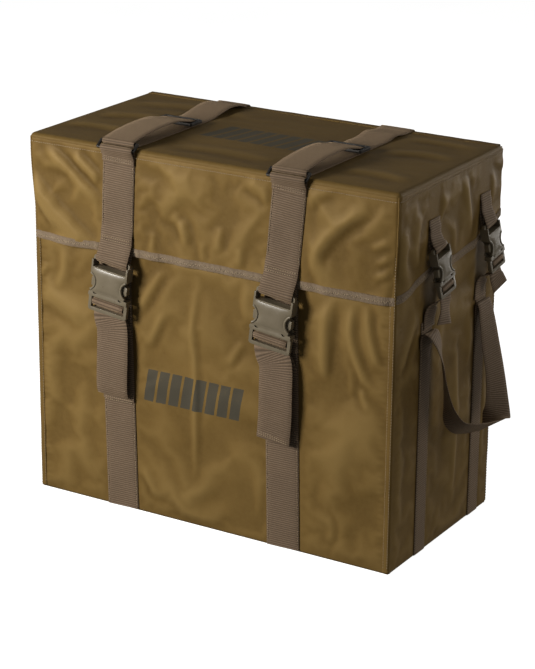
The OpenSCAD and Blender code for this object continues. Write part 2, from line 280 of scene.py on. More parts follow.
def printMask(tree, uv, place, prints):
    # one row of evenly spaced slanted bars, with ink worn thin by fine noise
    split = nodeOf(tree, "ShaderNodeSeparateXYZ")
    plug(tree, uv, split.inputs[0])
    x, z = split.outputs[0], split.outputs[1]
    lean = sums(tree, "MULTIPLY_ADD", z, -prints["slant"], x)

    def between(value, low, high):
        above, below = sums(tree, "GREATER_THAN", value, low), sums(tree, "LESS_THAN", value, high)
        return times(tree, above, below)

    start = sums(tree, "SUBTRACT", lean, prints["left"])
    phase = sums(tree, "FRACT", sums(tree, "DIVIDE", start, prints["barPitch"]))
    bars = sums(tree, "LESS_THAN", phase, prints["barShare"])
    block = times(tree, between(start, 0.0, prints["width"]), between(z, *prints["block"]))
    worn = ramp(tree, noise(tree, place, 0.004, 4.0), 0.2, 0.42)
    return times(tree, times(tree, block, bars), sums(tree, "MULTIPLY_ADD", worn, 0.15, 0.82))


def webbingMaterial(name, look):
    # ribs across the strap, fine lengthwise yarns, and a dusty speckle; U runs across and V along, in metres
    material, tree, surface = newMaterial(name)
    uv, place = clothPlaces(tree)
    ribs = waves(tree, uv, "Y", look["rib"], 0.3)
    yarns = waves(tree, uv, "X", look["yarn"], 0.6)
    dust = ramp(tree, noise(tree, place, 0.0025, 5.0), 0.3, 0.7)
    cloud = ramp(tree, noise(tree, place, 0.05), 0.3, 0.7)
    colour = mixColour(tree, cloud, look["dark"], look["colour"])
    colour = tinted(tree, colour, look["worn"], dust, 0.4)
    colour = tinted(tree, colour, look["deep"], sums(tree, "SUBTRACT", 1.0, ribs), look["groove"])
    colour = tinted(tree, colour, look["deep"], yarns, 0.15)
    height = sums(tree, "MULTIPLY_ADD", yarns, 0.4, sums(tree, "MULTIPLY_ADD", dust, 0.4, ribs))
    setSurface(tree, surface, {
        "Base Color": colour, "Roughness": look["rough"], "Specular IOR Level": 0.16,
        "Sheen Weight": 0.3, "Sheen Roughness": 0.5, "Sheen Tint": (0.85, 0.62, 0.38, 1.0),
        "Normal": bumped(tree, height, 0.6, 0.25 * mm)})
    return material


def mouldedMaterial(name, look):
    # satin moulding: faint mottling in the colour and the gloss, a fine grain, and a few pale scratches
    material, tree, surface = newMaterial(name)
    place = nodeOf(tree, "ShaderNodeTexCoord").outputs["Object"]
    mottle = ramp(tree, noise(tree, place, 0.012, 4.0), 0.3, 0.7)
    grain = ramp(tree, noise(tree, place, 0.0009, 2.0), 0.3, 0.7)
    stretch = nodeOf(tree, "ShaderNodeMapping", Scale=(1.0, 1.0, 0.12))
    plug(tree, place, stretch.inputs["Vector"])
    scratch = ramp(tree, noise(tree, stretch.outputs[0], 0.0016, 2.0), 0.62, 0.72)
    colour = mixColour(tree, mottle, look["dark"], look["colour"])
    colour = tinted(tree, colour, look["worn"], scratch, 0.12)
    rough = sums(tree, "MULTIPLY_ADD", mottle, 0.08, look["rough"])
    setSurface(tree, surface, {
        "Base Color": colour, "Roughness": sums(tree, "MULTIPLY_ADD", scratch, 0.06, rough),
        "Specular IOR Level": look["gloss"], "Metallic": look["metal"],
        "Normal": bumped(tree, grain, look["bump"], 0.06 * mm)})
    return material


# worn is the colour of worn specks and, in the nylons, also the painted highlight on fold ridges; deep is the
# weave's tint and, in the nylons, also the painted shade in fold valleys
nylonLook = {"colour": (0.19, 0.117, 0.035), "dark": (0.128, 0.076, 0.021), "worn": (0.235, 0.152, 0.05),
             "deep": (0.052, 0.029, 0.0075), "pitch": 0.7 * mm, "rough": 0.47, "gloss": 0.2, "sheen": 0.03}
# the lid top's cloth is the same nylon as the skirt: its colour is darkened as painted shade, and its gloss is a
# little lower
shadedLidLook = {**nylonLook, "colour": (0.152, 0.096, 0.03), "dark": (0.122, 0.076, 0.0225),
           "rough": 0.5, "gloss": 0.18}
liningLook = {**nylonLook, "colour": (0.1, 0.068, 0.03), "dark": (0.075, 0.05, 0.022), "worn": (0.14, 0.1, 0.05),
              "deep": (0.04, 0.027, 0.012), "rough": 0.6, "gloss": 0.3, "pitch": 0.9 * mm}
webbingLook = {"colour": (0.2, 0.136, 0.084), "dark": (0.16, 0.108, 0.066), "worn": (0.285, 0.212, 0.148),
               "deep": (0.04, 0.026, 0.016), "rib": 3.0 * mm, "yarn": 1.5 * mm, "groove": 0.72, "rough": 0.72}
bindingLook = {**webbingLook, "colour": (0.262, 0.19, 0.124), "dark": (0.19, 0.136, 0.086),
               "worn": (0.38, 0.31, 0.22), "deep": (0.075, 0.05, 0.03), "rib": 1.9 * mm, "yarn": 1.6 * mm}
threadLook = {**bindingLook, "colour": (0.46, 0.36, 0.23), "dark": (0.38, 0.28, 0.17), "rib": 0.9 * mm,
              "groove": 0.3}
buckleLook = {"colour": (0.168, 0.139, 0.092), "dark": (0.152, 0.125, 0.082), "worn": (0.26, 0.225, 0.16),
              "rough": 0.27, "gloss": 0.55, "metal": 0.0, "bump": 0.08}
steelLook = {"colour": (0.035, 0.031, 0.026), "dark": (0.022, 0.019, 0.016), "worn": (0.12, 0.11, 0.1),
             "rough": 0.38, "gloss": 0.5, "metal": 0.35, "bump": 0.2}
frontPrint = {"left": -105 * mm - 0.18 * 0.154, "width": 152 * mm, "block": (166 * mm, 212 * mm),
              "slant": 0.18, "barPitch": 19.4 * mm, "barShare": 0.8, "ink": (0.06, 0.056, 0.043)}
lidPrint = {**frontPrint, "left": -76 * mm, "width": 150 * mm, "block": (-34 * mm, 30 * mm),
            "ink": (0.07, 0.068, 0.052)}
paint = {
    "nylon": nylonMaterial("coated_nylon", nylonLook),
    "frontNylon": nylonMaterial("coated_nylon_front", nylonLook, frontPrint),
    "shadedLidNylon": nylonMaterial("coated_nylon_lid_shaded", shadedLidLook, lidPrint),
    "lining": nylonMaterial("woven_lining", liningLook),
    "webbing": webbingMaterial("ribbed_webbing", webbingLook),
    "binding": webbingMaterial("edge_binding", bindingLook),
    "thread": webbingMaterial("sewing_thread", threadLook),
    "buckle": mouldedMaterial("moulded_acetal", buckleLook),
    "steel": mouldedMaterial("painted_steel", steelLook),
}
slotOf = {"frontNylon": "nylon", "shadedLidNylon": "nylon", "thread": "binding"}
print("materials made")


# ---- mesh helpers
def gridFaces(rows, cols, closedRows=False, closedCols=False):
    # corner numbers of the quads between neighbouring points; the closed direction joins its last to its first
    i = np.arange(rows if closedRows else rows - 1)[:, None]
    j = np.arange(cols if closedCols else cols - 1)[None, :]
    a, b = i % rows, (i + 1) % rows
    c, d = j % cols, (j + 1) % cols
    quads = np.stack([a * cols + c, a * cols + d, b * cols + d, b * cols + c], -1)
    return quads.reshape(-1, 4), np.stack([i + 0 * j, j + 0 * i], -1).reshape(-1, 2)


def makeMesh(name, points, faces, finish, uv=None, tidy=False, fold=None):
    # faces is a list of arrays, each with its own number of corners; uv has one pair for each corner of each face
    mesh = bpy.data.meshes.new(name)
    counts = np.concatenate([np.full(len(f), f.shape[1]) for f in faces])
    corners = np.concatenate([f.ravel() for f in faces])
    mesh.vertices.add(len(points))
    mesh.vertices.foreach_set("co", np.asarray(points, np.float32).ravel())
    mesh.loops.add(len(corners))
    mesh.loops.foreach_set("vertex_index", corners.astype(np.int32))
    mesh.polygons.add(len(counts))
    mesh.polygons.foreach_set("loop_start", np.concatenate([[0], np.cumsum(counts)[:-1]]).astype(np.int32))
    if uv is not None:
        mesh.uv_layers.new(name="UVMap").data.foreach_set("uv", np.asarray(uv, np.float32).ravel())
    # fold: painted highlight above 0.5 and painted shade below 0.5, read by the nylon materials; 0.5 paints no
    # light
    fold = np.full(len(points), 0.5) if fold is None else fold  # plain pieces take the middle tone
    mesh.attributes.new("fold", "FLOAT", "POINT").data.foreach_set("value", np.asarray(fold, np.float32).ravel())
    mesh.update(calc_edges=True)
    mesh.validate()
    if tidy:
        work = bmesh.new()
        work.from_mesh(mesh)
        bmesh.ops.recalc_face_normals(work, faces=work.faces)
        work.to_mesh(mesh)
        work.free()
    mesh.shade_smooth()
    mesh.materials.append(paint[finish])
    piece = addObject(name, mesh)
    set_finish(piece, slotOf.get(finish, finish))
    return piece


def slab(name, outer, inner, uv, finish, fold=None):
    # a closed sheet: an outer and an inner grid of the same shape, joined round their borders
    rows, cols = outer.shape[:2]
    count = rows * cols
    front = gridFaces(rows, cols)[0]
    number = np.arange(count).reshape(rows, cols)
    rim = np.concatenate([number[0, :-1], number[:-1, -1], number[-1, :0:-1], number[:0:-1, 0]])
    after = np.roll(rim, -1)
    edge = np.stack([rim, rim + count, after + count, after], -1)
    back = front[:, ::-1] + count
    flat = uv.reshape(-1, 2)
    pairs = np.concatenate([flat[front], flat[back - count], flat[np.stack([rim, rim, after, after], -1)]])
    points = np.concatenate([outer.reshape(-1, 3), inner.reshape(-1, 3)])
    both = None if fold is None else np.concatenate([fold.ravel(), fold.ravel()])
    return makeMesh(name, points, [front, back, edge], finish, pairs, fold=both)


def tube(name, rings, uv, finish, closed=False):
    # rings is (stations, points round, 3); the ends are capped unless the tube closes on itself
    rows, cols = rings.shape[:2]
    faces, cells = gridFaces(rows, cols, closed, True)
    i, j = cells[:, 0], cells[:, 1]
    pairs = np.stack([uv[i, j], uv[i, j + 1], uv[i + 1, j + 1], uv[i + 1, j]], 1).reshape(-1, 2)
    groups = [faces]
    if not closed:
        ends = np.array([np.arange(cols)[::-1], (rows - 1) * cols + np.arange(cols)])
        groups.append(ends)
        pairs = np.concatenate([pairs, uv[0, :cols][::-1], uv[-1, :cols]])
    return makeMesh(name, rings.reshape(-1, 3), groups, finish, pairs, tidy=True)


def runAlong(path):
    # distance from the first point to each point of a path
    return np.concatenate([[0], np.cumsum(np.linalg.norm(np.diff(path, axis=0), axis=1))])


def readAt(places, run, path):
    # the path's own columns at the given distances along it
    return np.stack([np.interp(places, run, column) for column in path.T], -1)


def girthAndRun(girth, run):
    # a tube's own coordinates: round it by along it
    return np.stack(np.broadcast_arrays(girth[None, :], run[:, None]), -1)


def ease(t):
    t = np.clip(t, 0, 1)
    return t * t * (3 - 2 * t)


def unit(v):
    return v / np.maximum(np.linalg.norm(v, axis=-1, keepdims=True), 1e-12)


def smoothPath(stops, spacing, columns=3):
    # a cubic Hermite curve through the stops, each slope taken from its neighbours, sampled evenly along its length
    p = np.array(stops, float)
    gaps = np.linalg.norm(np.diff(p[:, :columns], axis=0), axis=1)
    t = np.concatenate([[0], np.cumsum(np.sqrt(gaps))])
    slope = np.gradient(p, t, axis=0)
    fine = np.linspace(0, t[-1], 60 * len(p))
    k = np.clip(np.searchsorted(t, fine, side="right") - 1, 0, len(t) - 2)
    width = (t[k + 1] - t[k])[:, None]
    s = ((fine - t[k]) / (t[k + 1] - t[k]))[:, None]
    curve = ((2 * s**3 - 3 * s**2 + 1) * p[k] + (s**3 - 2 * s**2 + s) * width * slope[k]
             + (3 * s**2 - 2 * s**3) * p[k + 1] + (s**3 - s**2) * width * slope[k + 1])
    run = runAlong(curve[:, :columns])
    even = np.linspace(0, run[-1], max(int(round(run[-1] / spacing)), 2) + 1)
    return readAt(even, run, curve), even


def softNoise(u, v, size, seed):
    # gradient noise: random slopes at the corners of a lattice, eased between them; size is its cell's two sides
    slopes = np.random.default_rng(seed).uniform(0, 2 * np.pi, (64, 64))
    a, b = u / size[0] + 500.0, v / size[1] + 500.0
    i, j = np.floor(a).astype(int), np.floor(b).astype(int)
    fa, fb = a - i, b - j

    def lean(di, dj):
        g = slopes[(i + di) % 64, (j + dj) % 64]
        return np.cos(g) * (fa - di) + np.sin(g) * (fb - dj)

    ea, eb = (f**3 * (f * (f * 6 - 15) + 10) for f in (fa, fb))
    low = lean(0, 0) * (1 - ea) + lean(1, 0) * ea
    high = lean(0, 1) * (1 - ea) + lean(1, 1) * ea
    return 1.4 * (low * (1 - eb) + high * eb)


def foldRelief(u, v, folds):
    # a fold follows a smooth line, with a ridge on the left of its direction and a shallower valley on the right,
    # and dies out towards both ends; each is [points in mm, width in mm, height in mm]
    height = np.zeros_like(u)
    for stops, width, rise in folds:
        line = smoothPath(np.array(stops) * mm, 8 * mm, 2)[0]
        a, step = line[:-1], np.diff(line, axis=0)
        du, dv = u[..., None] - a[:, 0], v[..., None] - a[:, 1]
        t = np.clip((du * step[:, 0] + dv * step[:, 1]) / (step**2).sum(1), 0, 1)
        gap = np.hypot(du - t * step[:, 0], dv - t * step[:, 1])
        k = gap.argmin(-1)[..., None]
        near = np.take_along_axis(gap, k, -1)[..., 0]
        side = np.take_along_axis(np.sign(step[:, 0] * dv - step[:, 1] * du), k, -1)[..., 0]
        along = (k[..., 0] + np.take_along_axis(t, k, -1)[..., 0]) / len(step)
        d = near * side / (width * mm)
        shape = np.exp(-((d - 0.9) ** 2) / 1.1) - 0.55 * np.exp(-((d + 0.75) ** 2) / 0.8)
        height += rise * mm * shape * ease(along / 0.28) * ease((1 - along) / 0.28)
    return height


def crumple(u, v, size, seed):
    # soft creases: ridged noise at two sizes, stretched along v
    big = 1 - 2 * np.abs(softNoise(u, v, size, seed))
    small = 1 - 2 * np.abs(softNoise(u, v, (size[0] * 0.45, size[1] * 0.4), seed + 7))
    return 0.65 * big + 0.35 * small


clothRules = {"quality": 4, "mass": 0.2, "tension_stiffness": 25, "compression_stiffness": 25,
              "shear_stiffness": 6, "bending_stiffness": 0.35, "bending_damping": 0.5, "air_damping": 2.0}
settlingFrames = 22


def settled(points, held, growth):
    # the sheet, cut a little too large, buckles between the lines where it is held; weights in held are 0 to 1
    rows, cols = points.shape[:2]
    mesh = bpy.data.meshes.new("settling")
    mesh.from_pydata(points.reshape(-1, 3).tolist(), [], gridFaces(rows, cols)[0].tolist())
    cloth = addObject("settling", mesh)
    group = cloth.vertex_groups.new(name="held")
    levels = np.round(held.ravel() * 10).astype(int)
    for level in np.unique(levels[levels > 0]):
        group.add(np.flatnonzero(levels == level).tolist(), level / 10, "REPLACE")
    modifier = cloth.modifiers.new("cloth", "CLOTH")
    rules = modifier.settings
    for key, value in clothRules.items():
        setattr(rules, key, value)
    rules.vertex_group_mass, rules.shrink_min = "held", -growth
    rules.effector_weights.gravity = 0
    modifier.point_cache.frame_start, modifier.point_cache.frame_end = 1, settlingFrames
    for number in range(1, settlingFrames + 1):
        bpy.context.scene.frame_set(number)
    result = cloth.evaluated_get(bpy.context.evaluated_depsgraph_get()).data
    out = np.empty(rows * cols * 3, np.float32)
    result.vertices.foreach_get("co", out)
    bpy.data.objects.remove(cloth)
    bpy.context.scene.frame_set(1)
    return out.reshape(rows, cols, 3).astype(float)


def buckled(u, v, relief, held, growth, coarse=2):
    # settles the sheet on a coarser grid and reads its rise back on the fine one
    rows, cols = (np.unique(np.append(np.arange(0, n, coarse), n - 1)) for n in u.shape)
    pick = np.ix_(rows, cols)
    flat = np.stack([u[pick], v[pick], relief[pick]], -1)
    rise = settled(flat, held[pick], growth)[..., 2]
    across = np.stack([np.interp(np.arange(u.shape[1]), cols, row) for row in rise])
    fine = np.stack([np.interp(np.arange(u.shape[0]), rows, column) for column in across.T], 1)
    for axis in (0, 1):
        near = np.stack([np.roll(fine, k, axis) for k in (-1, 0, 1)])
        smooth = near.mean(0)
        smooth[[0, -1]], smooth[:, [0, -1]] = fine[[0, -1]], fine[:, [0, -1]]
        fine = smooth
    return fine


def liesOn(height, floor, ceiling):
    # dips fade out against what the cloth lies on instead of passing into it
    dips = -floor * (1 - np.exp(np.minimum(height, 0) / floor))
    return np.minimum(np.where(height < 0, dips, height), ceiling)


def foldShade(height, step=2.5 * mm):
    # painted shade and painted highlight for the nylon's colour: 0 in the valleys, 0.5 on the flat and 1 on the
    # ridges, from the rise and from how hollow the surface is
    hollow = np.zeros_like(height)
    for axis in (0, 1):
        hollow += np.gradient(np.gradient(height, axis=axis), axis=axis) * mm / step**2
    for _ in range(2):
        hollow = (hollow + sum(np.roll(hollow, k, axis) for axis in (0, 1) for k in (-1, 1))) / 5
    return np.clip(0.5 + height / (9 * mm) - 2.6 * hollow, 0, 1)


def rolledRun(half, radius, step, turns=5):
    # places across a panel: even steps over its flat, then even angles round the rolled edge at each end
    flat = np.linspace(-(half - radius), half - radius, int(round(2 * (half - radius) / step)) + 1)
    bend = half - radius + radius * np.sin(np.linspace(0, np.pi / 2, turns + 1)[1:])
    return np.concatenate([-bend[::-1], flat, bend])


# ---- thread: short stitches laid along lines
def stitchTemplate(sides=5):
    # a spindle along x, one long and one across: two points and three rings
    turn = 2 * np.pi * np.arange(sides) / sides
    rings = [np.stack([np.full(sides, x), r * np.cos(turn), r * np.sin(turn)], -1)
             for x, r in ((-0.36, 0.8), (0, 1), (0.36, 0.8))]
    points = np.concatenate([[[-0.5, 0, 0]], *rings, [[0.5, 0, 0]]])
    around, after = np.arange(sides), (np.arange(sides) + 1) % sides
    quads = np.concatenate([np.stack([1 + r * sides + around, 1 + r * sides + after,
                                      1 + (r + 1) * sides + after, 1 + (r + 1) * sides + around], -1)[:, ::-1]
                            for r in (0, 1)])
    last = len(points) - 1
    tips = np.concatenate([np.stack([0 * around, 1 + around, 1 + after], -1)[:, ::-1],
                           np.stack([last + 0 * around, last - sides + after, last - sides + around], -1)[:, ::-1]])
    return points, quads, tips


def stitchRow(path, outward, pitch=4.2 * mm, length=3 * mm):
    # centre, direction and outward direction of each stitch, evenly spaced along a path of points
    path, outward = np.asarray(path, float), np.broadcast_to(np.asarray(outward, float), np.shape(path))
    run = runAlong(path)
    count = max(int(run[-1] / pitch), 1)
    at = (np.arange(count) + 0.5) * run[-1] / count
    ahead = readAt(at + length / 2, run, path) - readAt(at - length / 2, run, path)
    return readAt(at, run, path), unit(ahead) * length, unit(readAt(at, run, outward))


def threadPiece(name, rows, body, radius=0.5 * mm):
    points, quads, tips = stitchTemplate()
    spots, ahead, out = (np.concatenate(column) for column in zip(*rows))
    side = unit(np.cross(out, ahead))
    out = unit(np.cross(ahead, side))
    placed = (spots[:, None] + points[None, :, :1] * ahead[:, None] + points[None, :, 1:2] * radius * side[:, None]
              + points[None, :, 2:] * radius * 0.8 * out[:, None])
    step = np.arange(len(spots))[:, None, None] * len(points)
    faces = [(quads[None] + step).reshape(-1, 4), (tips[None] + step).reshape(-1, 3)]
    corners = sum(f.size for f in faces)
    uv = np.stack([np.linspace(0, 1 * mm, corners), np.arange(corners) * 0.4 * mm], -1)
    piece = makeMesh(name, placed.reshape(-1, 3), faces, "thread", uv, tidy=True)
    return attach(piece, body)


def zigzag(path, out, half=2.3 * mm, pitch=3.1 * mm):
    # a zigzag seam along a path: each stitch runs to the other side of it and up or down by turns
    run = runAlong(path)
    at = np.arange(int(run[-1] / pitch)) * pitch
    corner, facing = readAt(at, run, path), readAt(at, run, out)
    corner[:, 2] += half * np.where(np.arange(len(at)) % 2, 1, -1)
    return (corner[1:] + corner[:-1]) / 2, (corner[1:] - corner[:-1]) * 0.92, unit(facing[1:] + facing[:-1])


bagThread, lidThread = [], []


# ---- webbing
ribbonShape = {"thick": 1.5 * mm, "across": 7, "ribHeight": 0.24 * mm, "rib": 3.0 * mm, "spacing": 0.75 * mm}


def ribbon(name, stops, width):
    # a flat strip along a smooth line: its section is a thin rounded bar, ribbed along its length by |sin|
    path, run = smoothPath(stops, ribbonShape["spacing"])
    ahead = unit(np.gradient(path[:, :3], axis=0))
    across = path[:, 3:6]
    across = unit(across - (across * ahead).sum(-1, keepdims=True) * ahead)
    out = np.cross(ahead, across)
    n, thick = ribbonShape["across"], ribbonShape["thick"]
    u = np.linspace(-1, 1, n) * (1 - thick / width)
    fat = 1 - 0.35 * np.abs(u) ** 6
    a = np.concatenate([u, [1.0], u[::-1], [-1.0]]) * width / 2
    h = np.concatenate([fat, [0.0], -fat[::-1], [0.0]]) * thick / 2
    ribs = ribbonShape["ribHeight"] * (np.abs(np.sin(np.pi * run / ribbonShape["rib"])) - 0.5)
    lift = h[None, :] + np.sign(h)[None, :] * ribs[:, None]
    rings = path[:, None, :3] + a[None, :, None] * across[:, None] + lift[..., None] * out[:, None]
    girth = np.concatenate([a, [a[0]]])
    girth[n + 1:-1] += width * 3
    return tube(name, rings, girthAndRun(girth, run), "webbing")


def stripLines(stops, width, inset, out, end=1.0):
    # the two sewing lines along a strip's edges, lifted to its outer face, up to a share of its length
    path, run = smoothPath(stops, 3 * mm)
    keep = run <= end * run[-1]
    ahead = unit(np.gradient(path[:, :3], axis=0))
    across = unit(path[:, 3:6] - (path[:, 3:6] * ahead).sum(-1, keepdims=True) * ahead)
    lift = np.asarray(out) * (ribbonShape["thick"] / 2 + 0.1 * mm)
    return [stitchRow((path[:, :3] + s * across * (width / 2 - inset) + lift)[keep], out) for s in (-1, 1)]


def upright(x, y, low, high, across, count=8):
    # a straight vertical strip's stops
    return [(x, y, z, *across) for z in np.linspace(low, high, count)]


def crossRow(x, y, z, half, axis, out, pitch=3.4 * mm):
    # one sewing line straight across a strip
    t = np.linspace(-half, half, 12)[:, None]
    return stitchRow(np.array([x, y, z]) + t * np.array(axis), out, pitch=pitch, length=2.6 * mm)


# ---- outer walls: how much too large each is cut, its grid step, and the height from which the skirt holds it
wallCut = {"front": (0.0038, 2.5 * mm, 0.4), "back": (0.005, 3.2 * mm, bag["top"]), "side": (0.004, 2.6 * mm, 0.43)}


def wall(name, node, place, halfWidth, relief, tight, finish, growth, step):
    # u runs along the wall and v up it; the sides roll round the corners and the foot rolls under
    r = bag["cornerRadius"]
    u = rolledRun(halfWidth, r, step)
    v = np.linspace(r, bag["top"], int((bag["top"] - r) / step) + 1)
    foot = r - r * np.sin(np.linspace(np.pi / 2, 0, 5)[:-1])
    v = np.concatenate([foot + 0.2 * mm, v])
    uu, vv = np.meshgrid(u, v)
    over = np.maximum(np.abs(uu) - (halfWidth - r), 0)
    under = np.maximum(r - vv, 0)
    drop = (r - np.sqrt(np.maximum(r**2 - over**2, 0))) + (r - np.sqrt(np.maximum(r**2 - under**2, 0)))
    free = ease((halfWidth - np.abs(uu)) / (16 * mm)) * ease(vv / (18 * mm)) * ease((bag["top"] - vv) / (30 * mm))
    height = relief(uu, vv) * free
    loose = tight(uu, vv) * ease((halfWidth - np.abs(uu)) / (9 * mm))
    height = buckled(uu, vv, height, 1 - loose, growth) * free**0.3
    pucker = 0.3 * mm * np.sin(2 * np.pi * vv / (8.5 * mm) + 3 * softNoise(uu, vv, (0.03, 0.02), 5))
    height += pucker * np.exp(-((halfWidth - 13 * mm - np.abs(uu)) / (5 * mm)) ** 2) * ease(vv / (20 * mm))
    height = liesOn(height, 1.0 * mm, 6 * mm)
    uv = np.stack([uu, vv], -1)
    inner = place(uu, vv, height - drop - 0.6 * mm)
    # the fold attribute from the relief paints highlight on the ridges and shade in the valleys
    piece = slab(name, place(uu, vv, height - drop), inner, uv, finish, foldShade(height))
    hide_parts(node)
    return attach(piece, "bag")


def sewnDown(u, places, half, soft=11 * mm):
    # 0 under a strap that is sewn flat and 1 away from it
    free = np.ones_like(u)
    for x in places:
        free *= ease((np.abs(u - x) - half) / soft)
    return free


wallFolds = {
    "front": [
        [[(-277, 306), (-266, 318), (-255, 333)], 5, 1.6], [[(-279, 282), (-242, 271), (-196, 250)], 13, 3.4],
        [[(-110, 279), (-85, 322), (-63, 358)], 7, 2.4], [[(-92, 237), (-77, 268), (-62, 300)], 6, 2.0],
        [[(-16, 60), (-15, 160), (-15, 229), (-19, 287), (-11, 362)], 4.5, 1.9],
        [[(-112, 66), (-98, 46), (-84, 20)], 6, 2.0], [[(186, 240), (187, 300), (188, 366)], 9, 4.6],
        [[(251, 246), (233, 283), (223, 314), (222, 366)], 6, 3.6], [[(262, 276), (248, 327), (243, 368)], 5, 3.0],
        [[(226, 250), (233, 232), (243, 216)], 5, 2.2], [[(222, 232), (221, 280)], 3.5, 1.4],
        [[(36, 236), (48, 258), (63, 280)], 6, 1.8], [[(196, 22), (198, 44), (192, 66)], 5, 1.6],
        [[(-236, 366), (-238, 330), (-252, 300)], 7, 1.8], [[(60, 366), (52, 330), (56, 300)], 7, 1.5],
        [[(-262, 60), (-244, 150), (-248, 236)], 15, 2.0], [[(84, 20), (90, 70), (86, 130)], 8, 1.5],
        [[(-190, 40), (-196, 110), (-190, 190)], 11, 1.4],
    ],
    "side": [
        [[(42, 30), (40, 140), (38, 300)], 6, 2.0], [[(-128, 262), (-104, 300), (-76, 345)], 9, 2.8],
        [[(-112, 50), (-113, 150), (-110, 250)], 10, 1.8], [[(76, 60), (78, 200), (74, 330)], 7, 1.5],
        [[(-10, 60), (-8, 200), (-12, 350)], 9, 1.6], [[(126, 50), (128, 160), (124, 300)], 6, 1.6],
    ],
    "back": [
        [[(-90, 60), (-60, 170), (-74, 300)], 10, 2.2], [[(40, 120), (64, 220), (52, 350)], 9, 2.0],
        [[(200, 60), (226, 160), (214, 290)], 9, 2.4], [[(-230, 100), (-214, 220), (-232, 360)], 10, 2.4],
        [[(-20, 420), (30, 400), (90, 410)], 9, 1.6],
    ],
}


def buildWalls():
    middleY = (bag["front"] + bag["back"]) / 2
    halfY = (bag["back"] - bag["front"]) / 2
    strapHalf, tapeHalf = bag["strapWidth"] / 2, bag["tapeWidth"] / 2
    tapes = [y - middleY for y in bag["tapeY"]]

    # tight: 1 where a wall can buckle, 0 along its foot, its top and its sewn straps
    def tightBelow(top, fade, flip, places, half):
        def tight(u, v):
            return sewnDown(flip * u, places, half, 3 * mm) * ease(v / (8 * mm)) * ease((top - v) / fade)
        return tight

    def frontRelief(u, v):
        free = sewnDown(u, bag["strapX"], strapHalf)
        hidden = 1 - 0.75 * ease((v - lid["edge"] + 8 * mm) / (14 * mm))
        soft = 0.75 * mm * crumple(u, v, (0.085, 0.16), 3) + 0.9 * mm * softNoise(u, v, (0.15, 0.2), 11)
        return (foldRelief(u, v, wallFolds["front"]) * hidden + soft * hidden) * free

    def backRelief(u, v):
        free = sewnDown(-u, bag["strapX"], strapHalf)
        soft = 0.9 * mm * crumple(u, v, (0.09, 0.15), 23) + 0.9 * mm * softNoise(u, v, (0.16, 0.2), 31)
        return (foldRelief(u, v, wallFolds["back"]) + soft) * free

    def sideRelief(seed, flip):
        def relief(u, v):
            along = flip * u
            free = sewnDown(along, tapes, tapeHalf, 8 * mm)
            hidden = 1 - 0.75 * ease((v - 0.372) / (20 * mm))
            soft = 0.6 * mm * crumple(along, v, (0.06, 0.16), seed)
            return (foldRelief(along + middleY, v, wallFolds["side"]) + soft) * hidden * free
        return relief

    wall("front_fabric", "front_panel", lambda u, v, h: np.stack([u, bag["front"] - h, v], -1), bag["x"],
         frontRelief, tightBelow(wallCut["front"][2], 10 * mm, 1, bag["strapX"], strapHalf), "frontNylon",
         *wallCut["front"][:2])
    wall("back_fabric", "back_panel", lambda u, v, h: np.stack([-u, bag["back"] + h, v], -1), bag["x"],
         backRelief, tightBelow(wallCut["back"][2], 20 * mm, -1, bag["strapX"], strapHalf), "nylon",
         *wallCut["back"][:2])
    wall("right_fabric", "right_panel", lambda u, v, h: np.stack([bag["x"] + h, u + middleY, v], -1), halfY,
         sideRelief(41, 1), tightBelow(wallCut["side"][2], 12 * mm, 1, tapes, tapeHalf), "nylon",
         *wallCut["side"][:2])
    wall("left_fabric", "left_panel", lambda u, v, h: np.stack([-bag["x"] - h, middleY - u, v], -1), halfY,
         sideRelief(53, -1), tightBelow(wallCut["side"][2], 12 * mm, -1, tapes, tapeHalf), "nylon",
         *wallCut["side"][:2])


def buildFloor():
    low, high = boxOf("bottom_panel")
    x = np.linspace(low[0] - 0.5 * mm, high[0] + 0.5 * mm, 120)
    y = np.linspace(low[1] - 0.5 * mm, high[1] + 0.5 * mm, 64)
    xx, yy = np.meshgrid(x, y)
    lift = 0.25 * mm * (1 + softNoise(xx, yy, (0.07, 0.07), 61))
    under = np.stack([xx, yy, 0 * xx], -1)
    over = np.stack([xx, yy, 1.0 * mm + lift], -1)
    piece = slab("bottom_fabric", over, under, np.stack([xx, yy], -1), "lining", foldShade(0 * xx))
    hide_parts("bottom_panel")
    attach(piece, "bag")


# ---- padded boards and dividers
def paddedBoard(name, low, high, thin, seed, body, nodes, pinches=()):
    # both faces swell from a flat sewn edge as 1 - |t|^8 in each direction, and pinch flat along sewn lines
    low, high = np.array(low, float), np.array(high, float)
    thick = (high - low)[thin]
    flatAxes = [a for a in range(3) if a != thin]
    size = (high - low)[flatAxes]
    counts = [max(int(s / (5 * mm)), 8) for s in size]
    a, b = np.meshgrid(*[np.linspace(-1, 1, n + 1) for n in counts])
    swell = (1 - np.abs(a) ** 8) * (1 - np.abs(b) ** 8)
    middle = (low + high) / 2
    u, v = (middle[flatAxes[0]] + a * size[0] / 2, middle[flatAxes[1]] + b * size[1] / 2)
    for axis, place in pinches:
        swell *= 1 - 0.85 * np.exp(-(((u, v)[axis] - place) / (7 * mm)) ** 2)
    swell *= 0.88 + 0.12 * softNoise(u, v, (0.06, 0.06), seed)
    half = thick / 2 * (0.3 + 0.68 * np.clip(swell, 0, 1))
    faces = []
    for s in (1, -1):
        p = np.zeros((*u.shape, 3))
        p[..., flatAxes[0]], p[..., flatAxes[1]] = u, v
        p[..., thin] = middle[thin] + s * half
        faces.append(p)
    if thin == 1:
        faces.reverse()
    # the fold attribute from the swell paints shade where the cover dips, as along its pinched lines
    piece = slab(name, *faces, np.stack([u, v], -1), "lining", foldShade((swell - 1) * mm))
    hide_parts(*nodes)
    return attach(piece, body)


